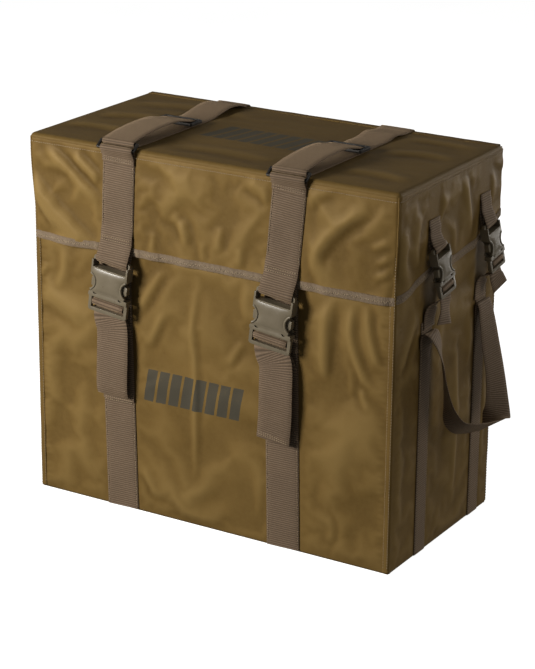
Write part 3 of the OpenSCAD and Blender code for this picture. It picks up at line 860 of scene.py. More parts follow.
def buildBoards():
    low, high = boxOf("long_boards")
    inFront, inBack = boxOf("side_boards")[0][1], boxOf("side_boards")[1][1]
    clear = 0.4 * mm
    paddedBoard("front_board_cover", low, (high[0], inFront, high[2]), 1, 71, "bag", ["long_boards"])
    paddedBoard("back_board_cover", (low[0], inBack, low[2]), high, 1, 72, "bag", ["long_boards"])
    inX, outX = boxOf("long_divider")[1][0], boxOf("side_boards")[1][0]
    for side, name in ((1, "right"), (-1, "left")):
        ends = sorted((side * inX, side * outX))
        near, far = (ends[0], inFront + clear, low[2]), (ends[1], inBack - clear, high[2])
        paddedBoard(name + "_board_cover", near, far, 0, 73 + side, "bag", ["side_boards"])
    low, high = boxOf("bottom_board")
    paddedBoard("floor_board_cover", low, high, 2, 77, "bag", ["bottom_board"])
    low, high = boxOf("lid_board")
    paddedBoard("lid_board_cover", low, high, 2, 78, "lid", ["lid_board"])
    low, high = boxOf("long_divider")
    crossX = sum(corner[0] / 2 for corner in boxOf("cross_divider_right"))
    paddedBoard("long_divider_pad", low, high, 1, 81, "bag", ["long_divider"], [(0, crossX), (0, -crossX)])
    middleY = (low[1] + high[1]) / 2
    for side in ("left", "right"):
        low, high = boxOf("cross_divider_" + side)
        paddedBoard("cross_divider_pad_" + side, low, high, 0, 83, "bag", ["cross_divider_" + side],
                    [(0, middleY)])


# ---- lid: top cloth, skirt and bindings
lidFolds = {
    "front": [
        [[(-160, 366), (-209, 401), (-250, 432), (-286, 474)], 13, 6.5],
        [[(-158, 434), (-216, 478), (-260, 510)], 8, 4.0],
        [[(-158, 465), (-184, 484), (-208, 504)], 7, 3.4], [[(-60, 432), (-42, 416), (-26, 398)], 8, 2.4],
        [[(-28, 392), (-28, 414), (-31, 436)], 7, 2.2], [[(24, 392), (26, 412), (30, 434)], 7, 2.3],
        [[(58, 496), (78, 484), (97, 470)], 8, 2.6], [[(84, 398), (92, 382)], 5, 1.8],
        [[(178, 382), (172, 410), (184, 434), (214, 462), (256, 494)], 9, 3.8],
        [[(250, 416), (262, 420), (273, 427)], 4, 1.8], [[(244, 433), (258, 440), (273, 448)], 5, 2.1],
        [[(250, 399), (262, 402), (273, 406)], 4, 1.5], [[(-82, 378), (-78, 396), (-80, 412)], 6, 1.6],
        [[(2, 378), (-2, 392), (2, 408)], 5, 1.5], [[(54, 378), (58, 394), (54, 410)], 6, 1.6],
        [[(-98, 500), (-60, 478), (-10, 470)], 12, 1.6], [[(-276, 436), (-262, 410), (-240, 386)], 7, 2.0],
        [[(150, 470), (172, 492), (200, 506)], 8, 1.6],
    ],
    "side": [
        [[(64, 414), (52, 456), (34, 504)], 8, 3.2], [[(-40, 436), (-28, 460), (-10, 486)], 11, 2.6],
        [[(-120, 392), (-124, 430), (-118, 470)], 9, 2.2], [[(118, 430), (124, 462), (116, 496)], 9, 2.2],
        [[(-84, 400), (-92, 440), (-80, 480)], 8, 1.8], [[(10, 398), (14, 424), (8, 450)], 7, 1.6],
    ],
    "top": [
        [[(-270, 60), (-180, 84), (-60, 78)], 14, 1.6], [[(-262, -20), (-210, 6), (-170, 2)], 12, 1.5],
        [[(160, -96), (214, -84), (270, -98)], 12, 1.6], [[(164, 10), (216, 34), (272, 26)], 12, 1.5],
        [[(156, 92), (210, 100), (268, 90)], 11, 1.2], [[(-90, -104), (0, -96), (84, -106)], 13, 1.4],
        [[(-276, -84), (-226, -70), (-172, -78)], 11, 1.3],
    ],
}
skirt = {"thick": 0.9 * mm, "tuck": 1.6 * mm, "step": 2.5 * mm, "rows": 58, "growth": 0.008}


def skirtEdge(y):
    # height of a side skirt's lower edge: it rises from the front corner in a wave to the back
    return np.interp(y, np.array([-150, -143, -100, -51, 5, 72, 93, 146]) * mm,
                     np.array([372, 373, 383.5, 393, 391, 398, 407, 423]) * mm)


def skirtLine():
    # plan of the skirt from the left back corner round the front to the right back: points, outward, run, side
    r, x, y = lid["cornerRadius"], lid["x"], lid["y"]
    sideRun = np.linspace(y - 0.5 * mm, -y + r, int((2 * y - r) / skirt["step"]))
    frontRun = np.linspace(-x + r, x - r, int((2 * x - 2 * r) / skirt["step"]))
    turn = np.linspace(0, np.pi / 2, 7)[1:-1]
    left = np.stack([np.full_like(sideRun, -x), sideRun], -1)
    bendL = np.stack([-x + r - r * np.cos(turn), -y + r - r * np.sin(turn)], -1)
    front = np.stack([frontRun, np.full_like(frontRun, -y)], -1)
    bendR = np.stack([x - r + r * np.sin(turn), -y + r - r * np.cos(turn)], -1)
    points = np.concatenate([left, bendL, front, bendR, (left * [-1, 1])[::-1]])
    outward = np.concatenate([np.tile([-1.0, 0.0], (len(left), 1)), np.stack([-np.cos(turn), -np.sin(turn)], -1),
                              np.tile([0.0, -1.0], (len(front), 1)), np.stack([np.sin(turn), -np.cos(turn)], -1),
                              np.tile([1.0, 0.0], (len(left), 1))])
    run = runAlong(points)
    edge = skirtEdge(points[:, 1])
    soft = np.convolve(np.pad(edge, 6, mode="edge"), np.hanning(15)[1:-1] / np.hanning(15)[1:-1].sum(), "valid")
    return points, outward, run, soft


def skirtRelief(points, outward, z):
    # relief of the skirt at each column's plan point and each height, faded at the seams and under the straps
    x, y = points[None, :, 0] + 0 * z, points[None, :, 1] + 0 * z
    onFront = (outward[:, 1] < -0.5)[None, :] + 0 * z
    front = foldRelief(x, z, lidFolds["front"]) + 0.8 * mm * crumple(x, z, (0.055, 0.07), 91)
    front += 0.8 * mm * softNoise(x, z, (0.1, 0.08), 93)
    front *= sewnDown(x, bag["strapX"], bag["strapWidth"] / 2, 10 * mm)
    side = foldRelief(y, z, lidFolds["side"]) + 0.7 * mm * crumple(y + x, z, (0.05, 0.08), 97)
    side *= sewnDown(y, lid["tabY"], bag["tapeWidth"] / 2, 8 * mm)
    relief = np.where(onFront > 0.5, front, side)
    cornerGap = np.where(onFront > 0.5, lid["x"] - np.abs(x), lid["y"] + y)
    backGap = np.where(onFront > 0.5, 1.0, lid["y"] - y)
    free = ease(cornerGap / (9 * mm)) * ease((lid["top"] - z) / (16 * mm)) * ease(backGap / (12 * mm) + 0.4)
    gather = 0.35 * mm * np.sin(2 * np.pi * (x + y) / (9 * mm) + 4 * softNoise(x, y + z, (0.04, 0.05), 99))
    band = np.exp(-(((lid["top"] - 8 * mm - z) / (6 * mm)) ** 2))
    return relief * free + gather * band * ease(cornerGap / (20 * mm))


def cornerPull(points, z):
    # the front corners round off towards the skirt's edge: points near a corner move in along the bisector
    gap = np.hypot(lid["x"] - np.abs(points[:, 0]), lid["y"] + points[:, 1])[None, :]
    return 5.5 * mm * np.exp(-(gap / (13 * mm)) ** 2) * ease((lid["top"] - 20 * mm - z) / (110 * mm))


def buildSkirt():
    points, outward, run, edge = skirtLine()
    t = np.linspace(0, 1, skirt["rows"])[:, None]
    top = lid["top"] - 1.5 * mm
    z = edge[None, :] + t * (top - edge[None, :])
    runs = run[None, :] + 0 * z
    spots = [(x, -lid["y"]) for x in bag["strapX"]] + [(s * lid["x"], y) for s in (-1, 1) for y in lid["tabY"]]
    straps = [run[np.hypot(points[:, 0] - x, points[:, 1] - y).argmin()] for x, y in spots]
    free = sewnDown(runs, straps[:2], bag["strapWidth"] / 2, 3 * mm)
    free = free * sewnDown(runs, straps[2:], bag["tapeWidth"] / 2, 3 * mm)
    corner = np.hypot(lid["x"] - np.abs(points[:, 0]), lid["y"] + points[:, 1])[None, :]
    free *= ease(corner / (10 * mm)) * ease((lid["top"] - 3 * mm - z) / (9 * mm))
    relief = buckled(runs, z, skirtRelief(points, outward, z), 1 - free, skirt["growth"], 1)
    relief = liesOn(relief, 1.1 * mm, 6.5 * mm)
    tuck = skirt["tuck"] * ease((z - lid["top"] + 7 * mm) / (5 * mm))
    out = relief - tuck - cornerPull(points, z)

    def shape(h):
        return np.concatenate([points[None] + outward[None] * h[..., None], z[..., None]], -1)

    # the fold attribute from the relief paints highlight on the ridges and shade in the valleys
    piece = slab("lid_skirt", shape(out), shape(out - skirt["thick"]), np.stack([runs, z], -1), "nylon",
                 foldShade(relief))
    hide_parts("lid_front_skirt", "lid_side_skirts")
    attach(piece, "lid")
    # topstitching just under the top seam
    line = np.concatenate([points + outward * (out[-5] + 0.3 * mm)[:, None], z[-5][:, None]], -1)
    facing = np.concatenate([outward, 0 * run[:, None]], -1)
    lidThread.append(stitchRow(line, facing, pitch=3.6 * mm, length=2.6 * mm))
    buildBinding(points, outward, run, edge, out[0])


binding = {"above": 6.5 * mm, "below": 5.0 * mm, "half": 1.35 * mm, "pitch": 1.9 * mm}


def buildBinding(points, outward, run, edge, relief):
    # a folded tape swept along the skirt's lower edge; its section is a tall rounded loop, finely ribbed
    even = np.linspace(0, run[-1], int(run[-1] / (0.65 * mm)))
    centre = readAt(even, run, np.stack([points[:, 0], points[:, 1], edge], -1))
    out = unit(readAt(even, run, np.stack([outward[:, 0], outward[:, 1], 0 * edge], -1)))
    wobble = 0.35 * mm * softNoise(even, 0 * even, (0.03, 1.0), 103)
    centre += out * (np.interp(even, run, relief) - skirt["thick"] / 2 + 0.2 * mm)[:, None]
    turn = np.linspace(0, np.pi, 6)
    side = np.concatenate([[1.0], np.cos(turn), [-1.0]])
    drop = np.concatenate([[binding["above"]], -binding["below"] * 0.45 - binding["below"] * 0.55 * np.sin(turn),
                           [binding["above"]]])
    ribs = 1 + 0.1 * (np.abs(np.sin(np.pi * even / binding["pitch"])) - 0.5)
    across = binding["half"] * side[None, :] * ribs[:, None]
    rings = centre[:, None] + out[:, None] * across[..., None]
    rings[..., 2] += drop[None, :] + wobble[:, None]
    girth = np.concatenate([[0], np.cumsum(np.hypot(np.diff(side) * binding["half"], np.diff(drop)))])
    girth = np.append(girth, girth[-1] + 2 * binding["half"])
    piece = tube("skirt_binding", rings, girthAndRun(girth, even), "binding")
    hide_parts("lid_binding")
    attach(piece, "lid")
    line = centre + out * (binding["half"] + 0.15 * mm) + [0, 0, 0.6 * mm]
    lidThread.append(zigzag(line, out))


def buildLidTop():
    # the top cloth: nearly flat, rolled over every edge on a small radius, its corners rounded in plan
    r = lid["cornerRadius"]
    x, y = rolledRun(lid["x"] + 0.3 * mm, r, 2.8 * mm), rolledRun(lid["y"] + 0.2 * mm, r, 2.8 * mm)
    xx, yy = np.meshgrid(x, y)
    flatX, flatY = lid["x"] + 0.3 * mm - r, lid["y"] + 0.2 * mm - r
    a, b = (np.maximum(np.abs(p) - flat, 0) / r for p, flat in ((xx, flatX), (yy, flatY)))
    tx, ty = a * np.sqrt(1 - b * b / 2), b * np.sqrt(1 - a * a / 2)
    px = np.clip(xx, -flatX, flatX) + np.sign(xx) * tx * r
    py = np.clip(yy, -flatY, flatY) + np.sign(yy) * ty * r
    fall = r - r * np.sqrt(np.maximum(1 - tx**2 - ty**2, 0))
    relief = foldRelief(xx, yy, lidFolds["top"]) + 0.55 * mm * crumple(yy, xx, (0.06, 0.16), 111)
    relief += 0.7 * mm * softNoise(xx, yy, (0.22, 0.07), 113)
    relief *= sewnDown(xx, bag["strapX"], bag["strapWidth"] / 2, 10 * mm)
    edgeGap = np.minimum(lid["x"] - np.abs(xx), lid["y"] - np.abs(yy))
    relief = np.clip(relief * ease(edgeGap / (22 * mm)), -1.1 * mm, 2.6 * mm)
    z = lid["top"] - fall + relief
    outer = np.stack([px, py, z], -1)
    away = unit(np.stack([np.sign(xx) * tx, np.sign(yy) * ty, np.sqrt(np.maximum(1 - tx**2 - ty**2, 0))], -1))
    # the fold attribute from the relief, made 1.4 times stronger, paints highlight on the ridges and shade in the
    # valleys
    piece = slab("lid_top_fabric", outer, outer - away * 0.8 * mm, np.stack([xx, yy], -1), "shadedLidNylon",
                 foldShade(relief * 1.4))
    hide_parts("lid_panel")
    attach(piece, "lid")


def ridgeRings(low, high, at, along, out, half, rise, seed, inward=0.0):
    # a sewn ridge up a corner: a low rounded section with a slight waver and pucker
    z = np.linspace(low, high, int((high - low) / (1.6 * mm)))
    turn = 2 * np.pi * np.arange(12) / 12
    waver = 0.35 * mm * softNoise(z, 0 * z, (0.035, 1.0), seed)
    pucker = 1 + 0.1 * np.sin(2 * np.pi * z / (4.2 * mm))
    a = half * np.cos(turn)[None, :] * pucker[:, None]
    b = rise * np.sin(turn)[None, :] * pucker[:, None]
    centre = np.stack([at[0] + 0 * z, at[1] + 0 * z, z], -1) + np.array(along) * waver[:, None]
    centre -= np.array(out) * (inward * ease((lid["top"] - 20 * mm - z) / (110 * mm)))[:, None]
    rings = centre[:, None] + a[..., None] * np.array(along) + b[..., None] * np.array(out)
    return rings, girthAndRun(np.linspace(0, 4 * half, 13), z)


def buildCornerSeams():
    # felled seams: a flat strip beside each upright corner of the bag, and a fine ridge down each front lid corner
    pieces = []
    for side in (1, -1):
        for y, out in ((bag["front"] - 0.3 * mm, -1), (bag["back"] + 0.3 * mm, 1)):
            at = (side * (bag["x"] - 4.6 * mm), y)
            ridge = ridgeRings(2 * mm, bag["top"], at, (1, 0, 0), (0, out, 0), 4.4 * mm, 1.1 * mm, 7)
            pieces.append(tube("seam", *ridge, "nylon"))
            for inset in (1.6 * mm, 7.4 * mm):
                z = np.linspace(8 * mm, bag["top"] - 6 * mm, 60)
                line = np.stack([0 * z + side * (bag["x"] - inset), 0 * z + y + out * 1.0 * mm, z], -1)
                bagThread.append(stitchRow(line, (0, out, 0), pitch=3.8 * mm, length=2.6 * mm))
    joined = joinPieces("corner_seam_strips", pieces)
    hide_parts("corner_seams")
    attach(joined, "bag")
    pieces = []
    for side in (1, -1):
        d = lid["cornerRadius"] * (1 - math.sqrt(0.5))
        at = (side * (lid["x"] - d), -lid["y"] + d)
        out = np.array([side, -1, 0]) * math.sqrt(0.5)
        along = np.array([side, 1, 0]) * math.sqrt(0.5)
        ridge = ridgeRings(lid["edge"] + 1 * mm, lid["top"] - 5 * mm, at, along, out, 1.3 * mm, 1.5 * mm, 9,
                           5.3 * mm)
        pieces.append(tube("seam", *ridge, "nylon"))
    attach(joinPieces("lid_corner_seams", pieces), "lid")
    x, y, r = lid["x"], lid["y"], lid["cornerRadius"]
    turn = np.linspace(0, np.pi / 2, 8)[1:-1]
    plan = [(-x, y - 1 * mm)] + [(-x + r - r * math.cos(t), -y + r - r * math.sin(t)) for t in turn]
    plan += [(-px, py) for px, py in plan[::-1]]
    dense = []
    for (ax, ay), (bx, by) in zip(plan[:-1], plan[1:]):
        count = max(int(math.hypot(bx - ax, by - ay) / (2.5 * mm)), 1)
        dense += [(ax + (bx - ax) * k / count, ay + (by - ay) * k / count) for k in range(count)]
    line = np.array(dense + [plan[-1]])
    buildTopPiping(line)


def buildTopPiping(line):
    # the top seam: a thin rolled edge where the top cloth is sewn to the skirt
    s = np.arange(len(line))
    centre = np.concatenate([line, np.full((len(line), 1), lid["top"] - 5.4 * mm)], -1)
    centre[:, 2] += 0.25 * mm * softNoise(s * 2.5 * mm, 0 * s, (0.03, 1.0), 131)
    ahead = unit(np.gradient(centre, axis=0))
    out = unit(np.cross(ahead, [0, 0, 1]))
    turn = 2 * np.pi * np.arange(8) / 8
    rings = (centre[:, None] + 0.75 * mm * np.cos(turn)[None, :, None] * out[:, None]
             + 0.9 * mm * np.sin(turn)[None, :, None] * np.array([0, 0, 1.0]))
    uv = girthAndRun(np.linspace(0, 5 * mm, 9), s * 2.5 * mm)
    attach(tube("lid_top_seam", rings, uv, "nylon"), "lid")


def joinPieces(name, pieces):
    # several meshes made one piece
    work = bmesh.new()
    for piece in pieces:
        work.from_mesh(piece.data)
    mesh = bpy.data.meshes.new(name)
    work.to_mesh(mesh)
    work.free()
    mesh.shade_smooth()
    mesh.materials.append(pieces[0].data.materials[0])
    joined = addObject(name, mesh)
    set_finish(joined, pieces[0]["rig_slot"])
    for piece in pieces:
        bpy.data.objects.remove(piece)
    return joined


def buildMouthTape():
    # folded tape over the walls' top edge, all the way round: a rounded upside-down U, filled
    x = (bag["x"] + boxOf("long_divider")[1][0]) / 2
    front = (bag["front"] + boxOf("side_boards")[0][1]) / 2
    back = (bag["back"] + boxOf("side_boards")[1][1]) / 2
    r = 5 * mm
    turn = np.linspace(0, np.pi / 2, 7)
    bends = [(x - r, front + r, -90), (x - r, back - r, 0), (-x + r, back - r, 90), (-x + r, front + r, 180)]
    plan = []
    for k, (cx, cy, start) in enumerate(bends):
        a = np.radians(start) + turn
        arc = np.stack([cx + r * np.cos(a), cy + r * np.sin(a)], -1)
        nx, ny, nstart = bends[(k + 1) % 4]
        ahead = np.array([nx + r * math.cos(math.radians(nstart)), ny + r * math.sin(math.radians(nstart))])
        count = int(np.linalg.norm(ahead - arc[-1]) / (2 * mm))
        plan += [arc, arc[-1] + (ahead - arc[-1]) * np.arange(1, count)[:, None] / count]
    plan = np.concatenate(plan)
    step = np.linalg.norm(plan - np.roll(plan, 1, 0), axis=1)
    run = np.cumsum(step)
    ahead = unit(np.roll(plan, -1, 0) - np.roll(plan, 1, 0))
    out = np.stack([ahead[:, 1], -ahead[:, 0], 0 * run], -1)
    bend = np.linspace(0, np.pi, 8)
    side = np.concatenate([[3.3 * mm], 3.3 * mm * np.cos(bend), [-3.3 * mm]])
    rise = np.concatenate([[-8 * mm], 3.2 * mm + 3.6 * mm * np.sin(bend), [-8 * mm]])
    ribs = 1 + 0.05 * np.sin(2 * np.pi * run / (4 * mm))
    rings = np.concatenate([plan, np.full((len(plan), 1), bag["top"])], -1)[:, None] + (
        out[:, None] * (side[None, :] * ribs[:, None])[..., None])
    rings[..., 2] += rise[None, :]
    girth = np.linspace(0, 30 * mm, len(side) + 1)
    lengths = np.append(run, run[-1] + step[0])
    piece = tube("mouth_tape", rings, girthAndRun(girth, lengths), "lining", closed=True)
    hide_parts("mouth_binding")
    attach(piece, "bag")


def buildHinge():
    # a strip of the same cloth from the back wall over the hinge line onto the lid
    y, top = bag["back"], lid["top"]
    stops = [(y + 0.7 * mm, top - 26 * mm), (y + 0.8 * mm, top - 12 * mm), (y + 0.9 * mm, top - 3 * mm),
             (y - 0.6 * mm, top + 0.5 * mm), (y - 5 * mm, top + 0.7 * mm), (y - 12 * mm, top + 0.6 * mm)]
    section = smoothPath(stops, 1.2 * mm, 2)[0]
    x = np.linspace(-bag["x"] + 1 * mm, bag["x"] - 1 * mm, 220)
    xx = np.broadcast_to(x[None, :], (len(section), len(x)))
    ahead = unit(np.gradient(section, axis=0))
    out = np.stack([ahead[:, 1], -ahead[:, 0]], -1)
    soft = 0.3 * mm * softNoise(xx, section[:, 1:] + 0 * xx, (0.03, 0.02), 121)

    def shape(h):
        y2 = section[:, :1] + out[:, :1] * h
        z2 = section[:, 1:] + out[:, 1:] * h
        return np.stack([-xx, y2 + 0 * xx, z2 + 0 * xx], -1)

    uv = np.stack([xx, section[:, 1:] - section[:, :1] + 0 * xx], -1)
    # the fold attribute from the ripple paints faint highlight on its ridges and shade in its dips
    piece = slab("hinge_cloth", shape(soft), shape(soft - 0.7 * mm), uv, "nylon", foldShade(soft))
    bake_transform(piece)


print("helpers ready")
addCamera()
addLights()
buildWalls()
buildFloor()
buildBoards()
print("walls and boards made")
buildSkirt()
buildLidTop()
buildCornerSeams()
buildMouthTape()
buildHinge()
print("lid and seams made")


# ---- straps sewn on the bag and the lid
frontStrap = {"foot": (-138, 120), "lean": (-0.027, -0.022), "crossRows": (157, 160.5, 166.5, 170)}
tapeRows = (294, 299, 321)


def buildSewnStraps():
    width = bag["strapWidth"]
    front, back = bag["front"] - 0.8 * mm, bag["back"] + 0.8 * mm
    pieces = {"front": [], "back": [], "side": []}
    for x, foot, lean in zip(bag["strapX"], frontStrap["foot"], frontStrap["lean"]):
        foot = foot * mm
        stops = [(foot + lean * min(z, 0.33), front, z, 1, 0, -lean) for z in np.linspace(1, 470, 12) * mm]
        pieces["front"].append(ribbon("strap", stops, width))
        bagThread.extend(stripLines(stops, width, 2.4 * mm, (0, -1, 0), 0.8))
        for z in frontStrap["crossRows"]:
            bagThread.append(crossRow(foot + lean * z * mm, front - 2.6 * mm, z * mm, width / 2 - 3 * mm,
                                      (1, 0, 0), (0, -1, 0)))
        stops = upright(x, back, 1 * mm, 492 * mm, (-1, 0, 0))
        pieces["back"].append(ribbon("strap", stops, width))
        bagThread.extend(stripLines(stops, width, 2.4 * mm, (0, 1, 0)))
    for side in (1, -1):
        for y in bag["tapeY"]:
            stops = upright(side * (bag["x"] + 0.8 * mm), y, 1 * mm, 326 * mm, (0, side, 0))
            pieces["side"].append(ribbon("strap", stops, bag["tapeWidth"]))
            bagThread.extend(stripLines(stops, bag["tapeWidth"], 2 * mm, (side, 0, 0)))
            for z in tapeRows:
                bagThread.append(crossRow(side * (bag["x"] + 1.7 * mm), y, z * mm, 12 * mm, (0, 1, 0),
                                          (side, 0, 0)))
    for key, node, name in (("front", "front_straps", "front_strap_webbing"),
                            ("back", "back_straps", "back_strap_webbing"),
                            ("side", "side_tapes", "side_tape_webbing")):
        piece = joinPieces(name, pieces[key])
        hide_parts(node)
        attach(piece, "bag")


# Where each buckle sits: the middle of its back, and its turns about x, y and z in degrees
frontSpots = [((-146, -147.3, 323), (0, 7, 0)), ((109, -147.3, 323), (0, 7, 0))]
sideSpots = [((289.6, -47, 394), (-8, -9, 90)), ((289.6, 99, 390), (-8, -9, 90))]
sideScale = 0.84


def turned(v, turns):
    x, y, z = v
    a, b, c = (math.radians(t) for t in turns)
    y, z = y * math.cos(a) - z * math.sin(a), y * math.sin(a) + z * math.cos(a)
    x, z = x * math.cos(b) + z * math.sin(b), -x * math.sin(b) + z * math.cos(b)
    return np.array([x * math.cos(c) - y * math.sin(c), x * math.sin(c) + y * math.cos(c), z])


def at(spot, y, z, k):
    # a point in a buckle's middle plane by its own depth and height, with the direction across the buckle
    return (*(np.array(spot[0]) + turned((0, y * k, z * k), spot[1])), *turned((1, 0, 0), spot[1]))


def stopsOf(route, mirrored=False):
    # stops in millimetres to metres; a mirrored route is the left copy of a right one
    p = np.array(route, float)
    p[:, :3] *= mm
    if mirrored:
        p[:, 0] *= -1
        p[:, 3] *= -1
    return p


def plugRoute(spot, k):
    # up behind the plug and round its bar to the front
    up = [(-1, -44), (-1, -34), (-2.6, -26.5), (-5.2, -23.1), (-8.2, -22.9), (-10.9, -24.6), (-11.5, -27)]
    down = [(-10.9, -24.6), (-11.5, -27), (-10.6, -29.6), (-7, -31.6), (-3.9, -33.4), (-3.2, -37), (-3.2, -44)]
    return [at(spot, y, z, k) for y, z in up], [at(spot, y, z, k) for y, z in down]


# Stops of each front tail below its plug; the left one ends in a folded hem
frontTails = [[(-146.5, -151.5, 262), (-145, -154, 225), (-146.5, -153.5, 192), (-147, -152.3, 173),
               (-147, -149, 166), (-147, -146.6, 170)],
              [(111, -151.5, 262), (113, -154, 225), (112, -153, 190), (108.5, -151.5, 154)]]


def buildBuckleWebbing():
    width = bag["strapWidth"]
    for i, side in enumerate(("left", "right")):
        up, down = plugRoute(frontSpots[i], 1)
        foot, lean = frontStrap["foot"][i], frontStrap["lean"][i]
        anchor = [(foot + lean * z, bag["front"] / mm - 2.8, z, 1, 0, -lean) for z in (158, 200, 236)]
        anchor += [(foot + lean * 258 - i, bag["front"] / mm - 5, 258, 1, 0, 0)]
        strap = ribbon(f"front_{side}_anchor", stopsOf(anchor + up), width)
        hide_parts(f"front_{side}_webbing")
        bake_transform(strap)
        leans = ((1, 0, 0.03), (1, 0, 0.03), (1, 0, 0), (1, 0, -0.16 if i else 0.0), (1, 0, 0), (1, 0, 0))
        tail = [(*p, *a) for p, a in zip(frontTails[i], leans)]
        tailStops = stopsOf(down + tail)
        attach(ribbon(f"front_{side}_tail", tailStops, width), f"front_{side}_plug")
        end = tailStops[-1 if i else -3]
        lines = [crossRow(end[0], end[1] - 1.1 * mm, end[2] + z * mm, width / 2 - 3 * mm, unit(end[3:6]),
                          (0, -1, 0)) for z in (4, 7)]
        threadPiece(f"front_{side}_tail_stitches", lines, f"front_{side}_plug")
    bodyX, lidX = bag["x"] / mm, lid["x"] / mm
    for mirrored, side in ((False, "right"), (True, "left")):
        for i, place in enumerate(("front", "rear")):
            y = sideSpots[i][0][1]
            up, down = plugRoute(sideSpots[i], sideScale)
            anchor = [(bodyX + 2.6, y - 6, 316, 0, 1, 0), (bodyX + 2.6, y - 6, 326, 0, 1, 0),
                      (bodyX + 6, y - 4, 344, 0.1, 1, 0.1)]
            strap = ribbon(f"{side}_{place}_anchor", stopsOf(anchor + up, mirrored), bag["tapeWidth"])
            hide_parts(f"{side}_{place}_webbing")
            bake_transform(strap)
            tail = [(lidX + 16.6, y + 3, 341, -0.1, 1, 0.1), (lidX + 17.5, y, 322, 0.2, 1, 0)]
            if i:
                tail = [(lidX + 17, y + 6, 346, 0.1, 1, 0.3), (lidX + 20, y + 13, 330, 0.25, 1, 0.45)]
            piece = ribbon(f"{side}_{place}_tail", stopsOf(down + tail, mirrored), bag["tapeWidth"])
            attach(piece, f"{side}_{place}_plug")


def barRoute(spot, k):
    # round the socket's top bar
    return [at(spot, y, z, k) for y, z in ((-10.9, 39), (-10.8, 34.5), (-8.2, 31.2), (-5, 31.3), (-3, 34.5))]


# The strap rings' two bars as y and z, and how far from a bar's middle the webbing turns, in millimetres
frontBar, rearBar, barTurn = (-150.5, 513.5), (-141.0, 520.5), 3.6


def turnAbout(bar, first, last):
    a = np.radians(np.linspace(first, last, 7))
    return list(zip(bar[0] + barTurn * np.cos(a), bar[1] + barTurn * np.sin(a)))


def buildLidStraps():
    width = bag["strapWidth"]
    y = -lid["y"] / mm - 0.9
    for i, side in enumerate(("left", "right")):
        x = bag["strapX"][i] / mm
        foot = at(frontSpots[i], 0, 39, 1)[0]

        def leaning(z, x=x, foot=foot):
            # the strap leans from just outside its sewn line at the ring to the buckle's own middle
            return x + 2.5 + (foot - x - 2.5) * min(max((506 - z) / 142, 0), 1)

        over = [(y - 1.8, 494), (y - 1.9, 500), (y - 3.8, 505)] + turnAbout(frontBar, 215, 5)
        over += [(y - 0.8, 509), (y, 502), (y, 450), (y, 405), (y - 1.4, 396), (y - 2.6, 384), (y - 8.4, 369)]
        route = [(leaning(p[1]), p[0], p[1], 1, 0, -0.05 if p[1] < 500 else 0) for p in over]
        route += barRoute(frontSpots[i], 1)
        route += [(leaning(p[1]), p[0], p[1], 1, 0, -0.05) for p in ((y - 1.9, 367), (y, 376), (y, 392))]
        piece = ribbon(f"lid_strap_webbing_{side}", stopsOf(route), width)
        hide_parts(f"lid_strap_{side}")
        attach(piece, "lid")
        for z, lift in ((497, 3), (500.5, 3.2), (386, 3.6), (390, 2.9)):
            lidThread.append(crossRow(leaning(z) * mm, (y - lift) * mm, z * mm, width / 2 - 2.5 * mm, (1, 0, -0.05),
                                      (0, -1, 0)))
        edges = [(leaning(z), y - 0.1, z, 1, 0, -0.05) for z in np.linspace(404, 492, 6)]
        lidThread.extend(stripLines(stopsOf(edges), width, 2.2 * mm, (0, -1, 0)))
        buildTopStrap(i, side, x, width)


def buildTopStrap(i, side, x, width):
    # flat under layer from the back to the ring, and the slack upper layer from the ring to the slider
    top = lid["top"] / mm
    bulge = ((118, 6.2), (96, 8), (72, 5)) if i == 0 else ((118, 1.2), (96, 4), (72, 1))
    flat = [(136, top + 0.9)] + [(y, top + rise) for y, rise in bulge]
    flat += [(48, top + 1), (0, top + 0.9), (-60, top + 0.9), (rearBar[0] + 16, top + 0.9),
             (rearBar[0] + 8, top + 1.3)]
    route = [(x, p[0], p[1], 1, 0, 0) for p in flat + turnAbout(rearBar, 290, 90)]
    piece = ribbon(f"top_strap_webbing_{side}", stopsOf(route), width)
    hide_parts(f"top_strap_{side}")
    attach(piece, "lid")
    loop = [(rearBar[0] + 0.4, rearBar[1] + barTurn), (-126, top + 11.6), (-100, top + 14.6), (-70, top + 16),
            (-35, top + 15), (-14, top + 10.6), (-6, top + 8.9), (0, top + 8.5), (3, top + 7.9), (4.1, top + 6.1),
            (3, top + 4.2), (0, top + 3.5), (-7, top + 3.2)]
    route = [(x, p[0], p[1], 1, 0, 0) for p in loop]
    piece = ribbon(f"adjuster_loop_webbing_{side}", stopsOf(route), width)
    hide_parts(f"adjuster_loop_{side}")
    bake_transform(piece)
    # the stretch over the hinge line, from the back strap to the top strap
    bend = [(bag["back"] / mm + 0.8, 486), (bag["back"] / mm + 0.9, 500), (bag["back"] / mm + 1.6, 509),
            (bag["back"] / mm + 1.8, 514.4), (144.2, top + 2.0), (140, top + 1.6), (134, top + 0.95),
            (128, top + 0.9)]
    if i == 0:
        bend[-3:] = [(140, top + 2.4), (134, top + 1.9), (128, top + 2.6)]
    route = [(x, p[0], p[1], 1, 0, 0) for p in bend]
    piece = ribbon(f"hinge_webbing_{side}", stopsOf(route), width)
    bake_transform(piece)


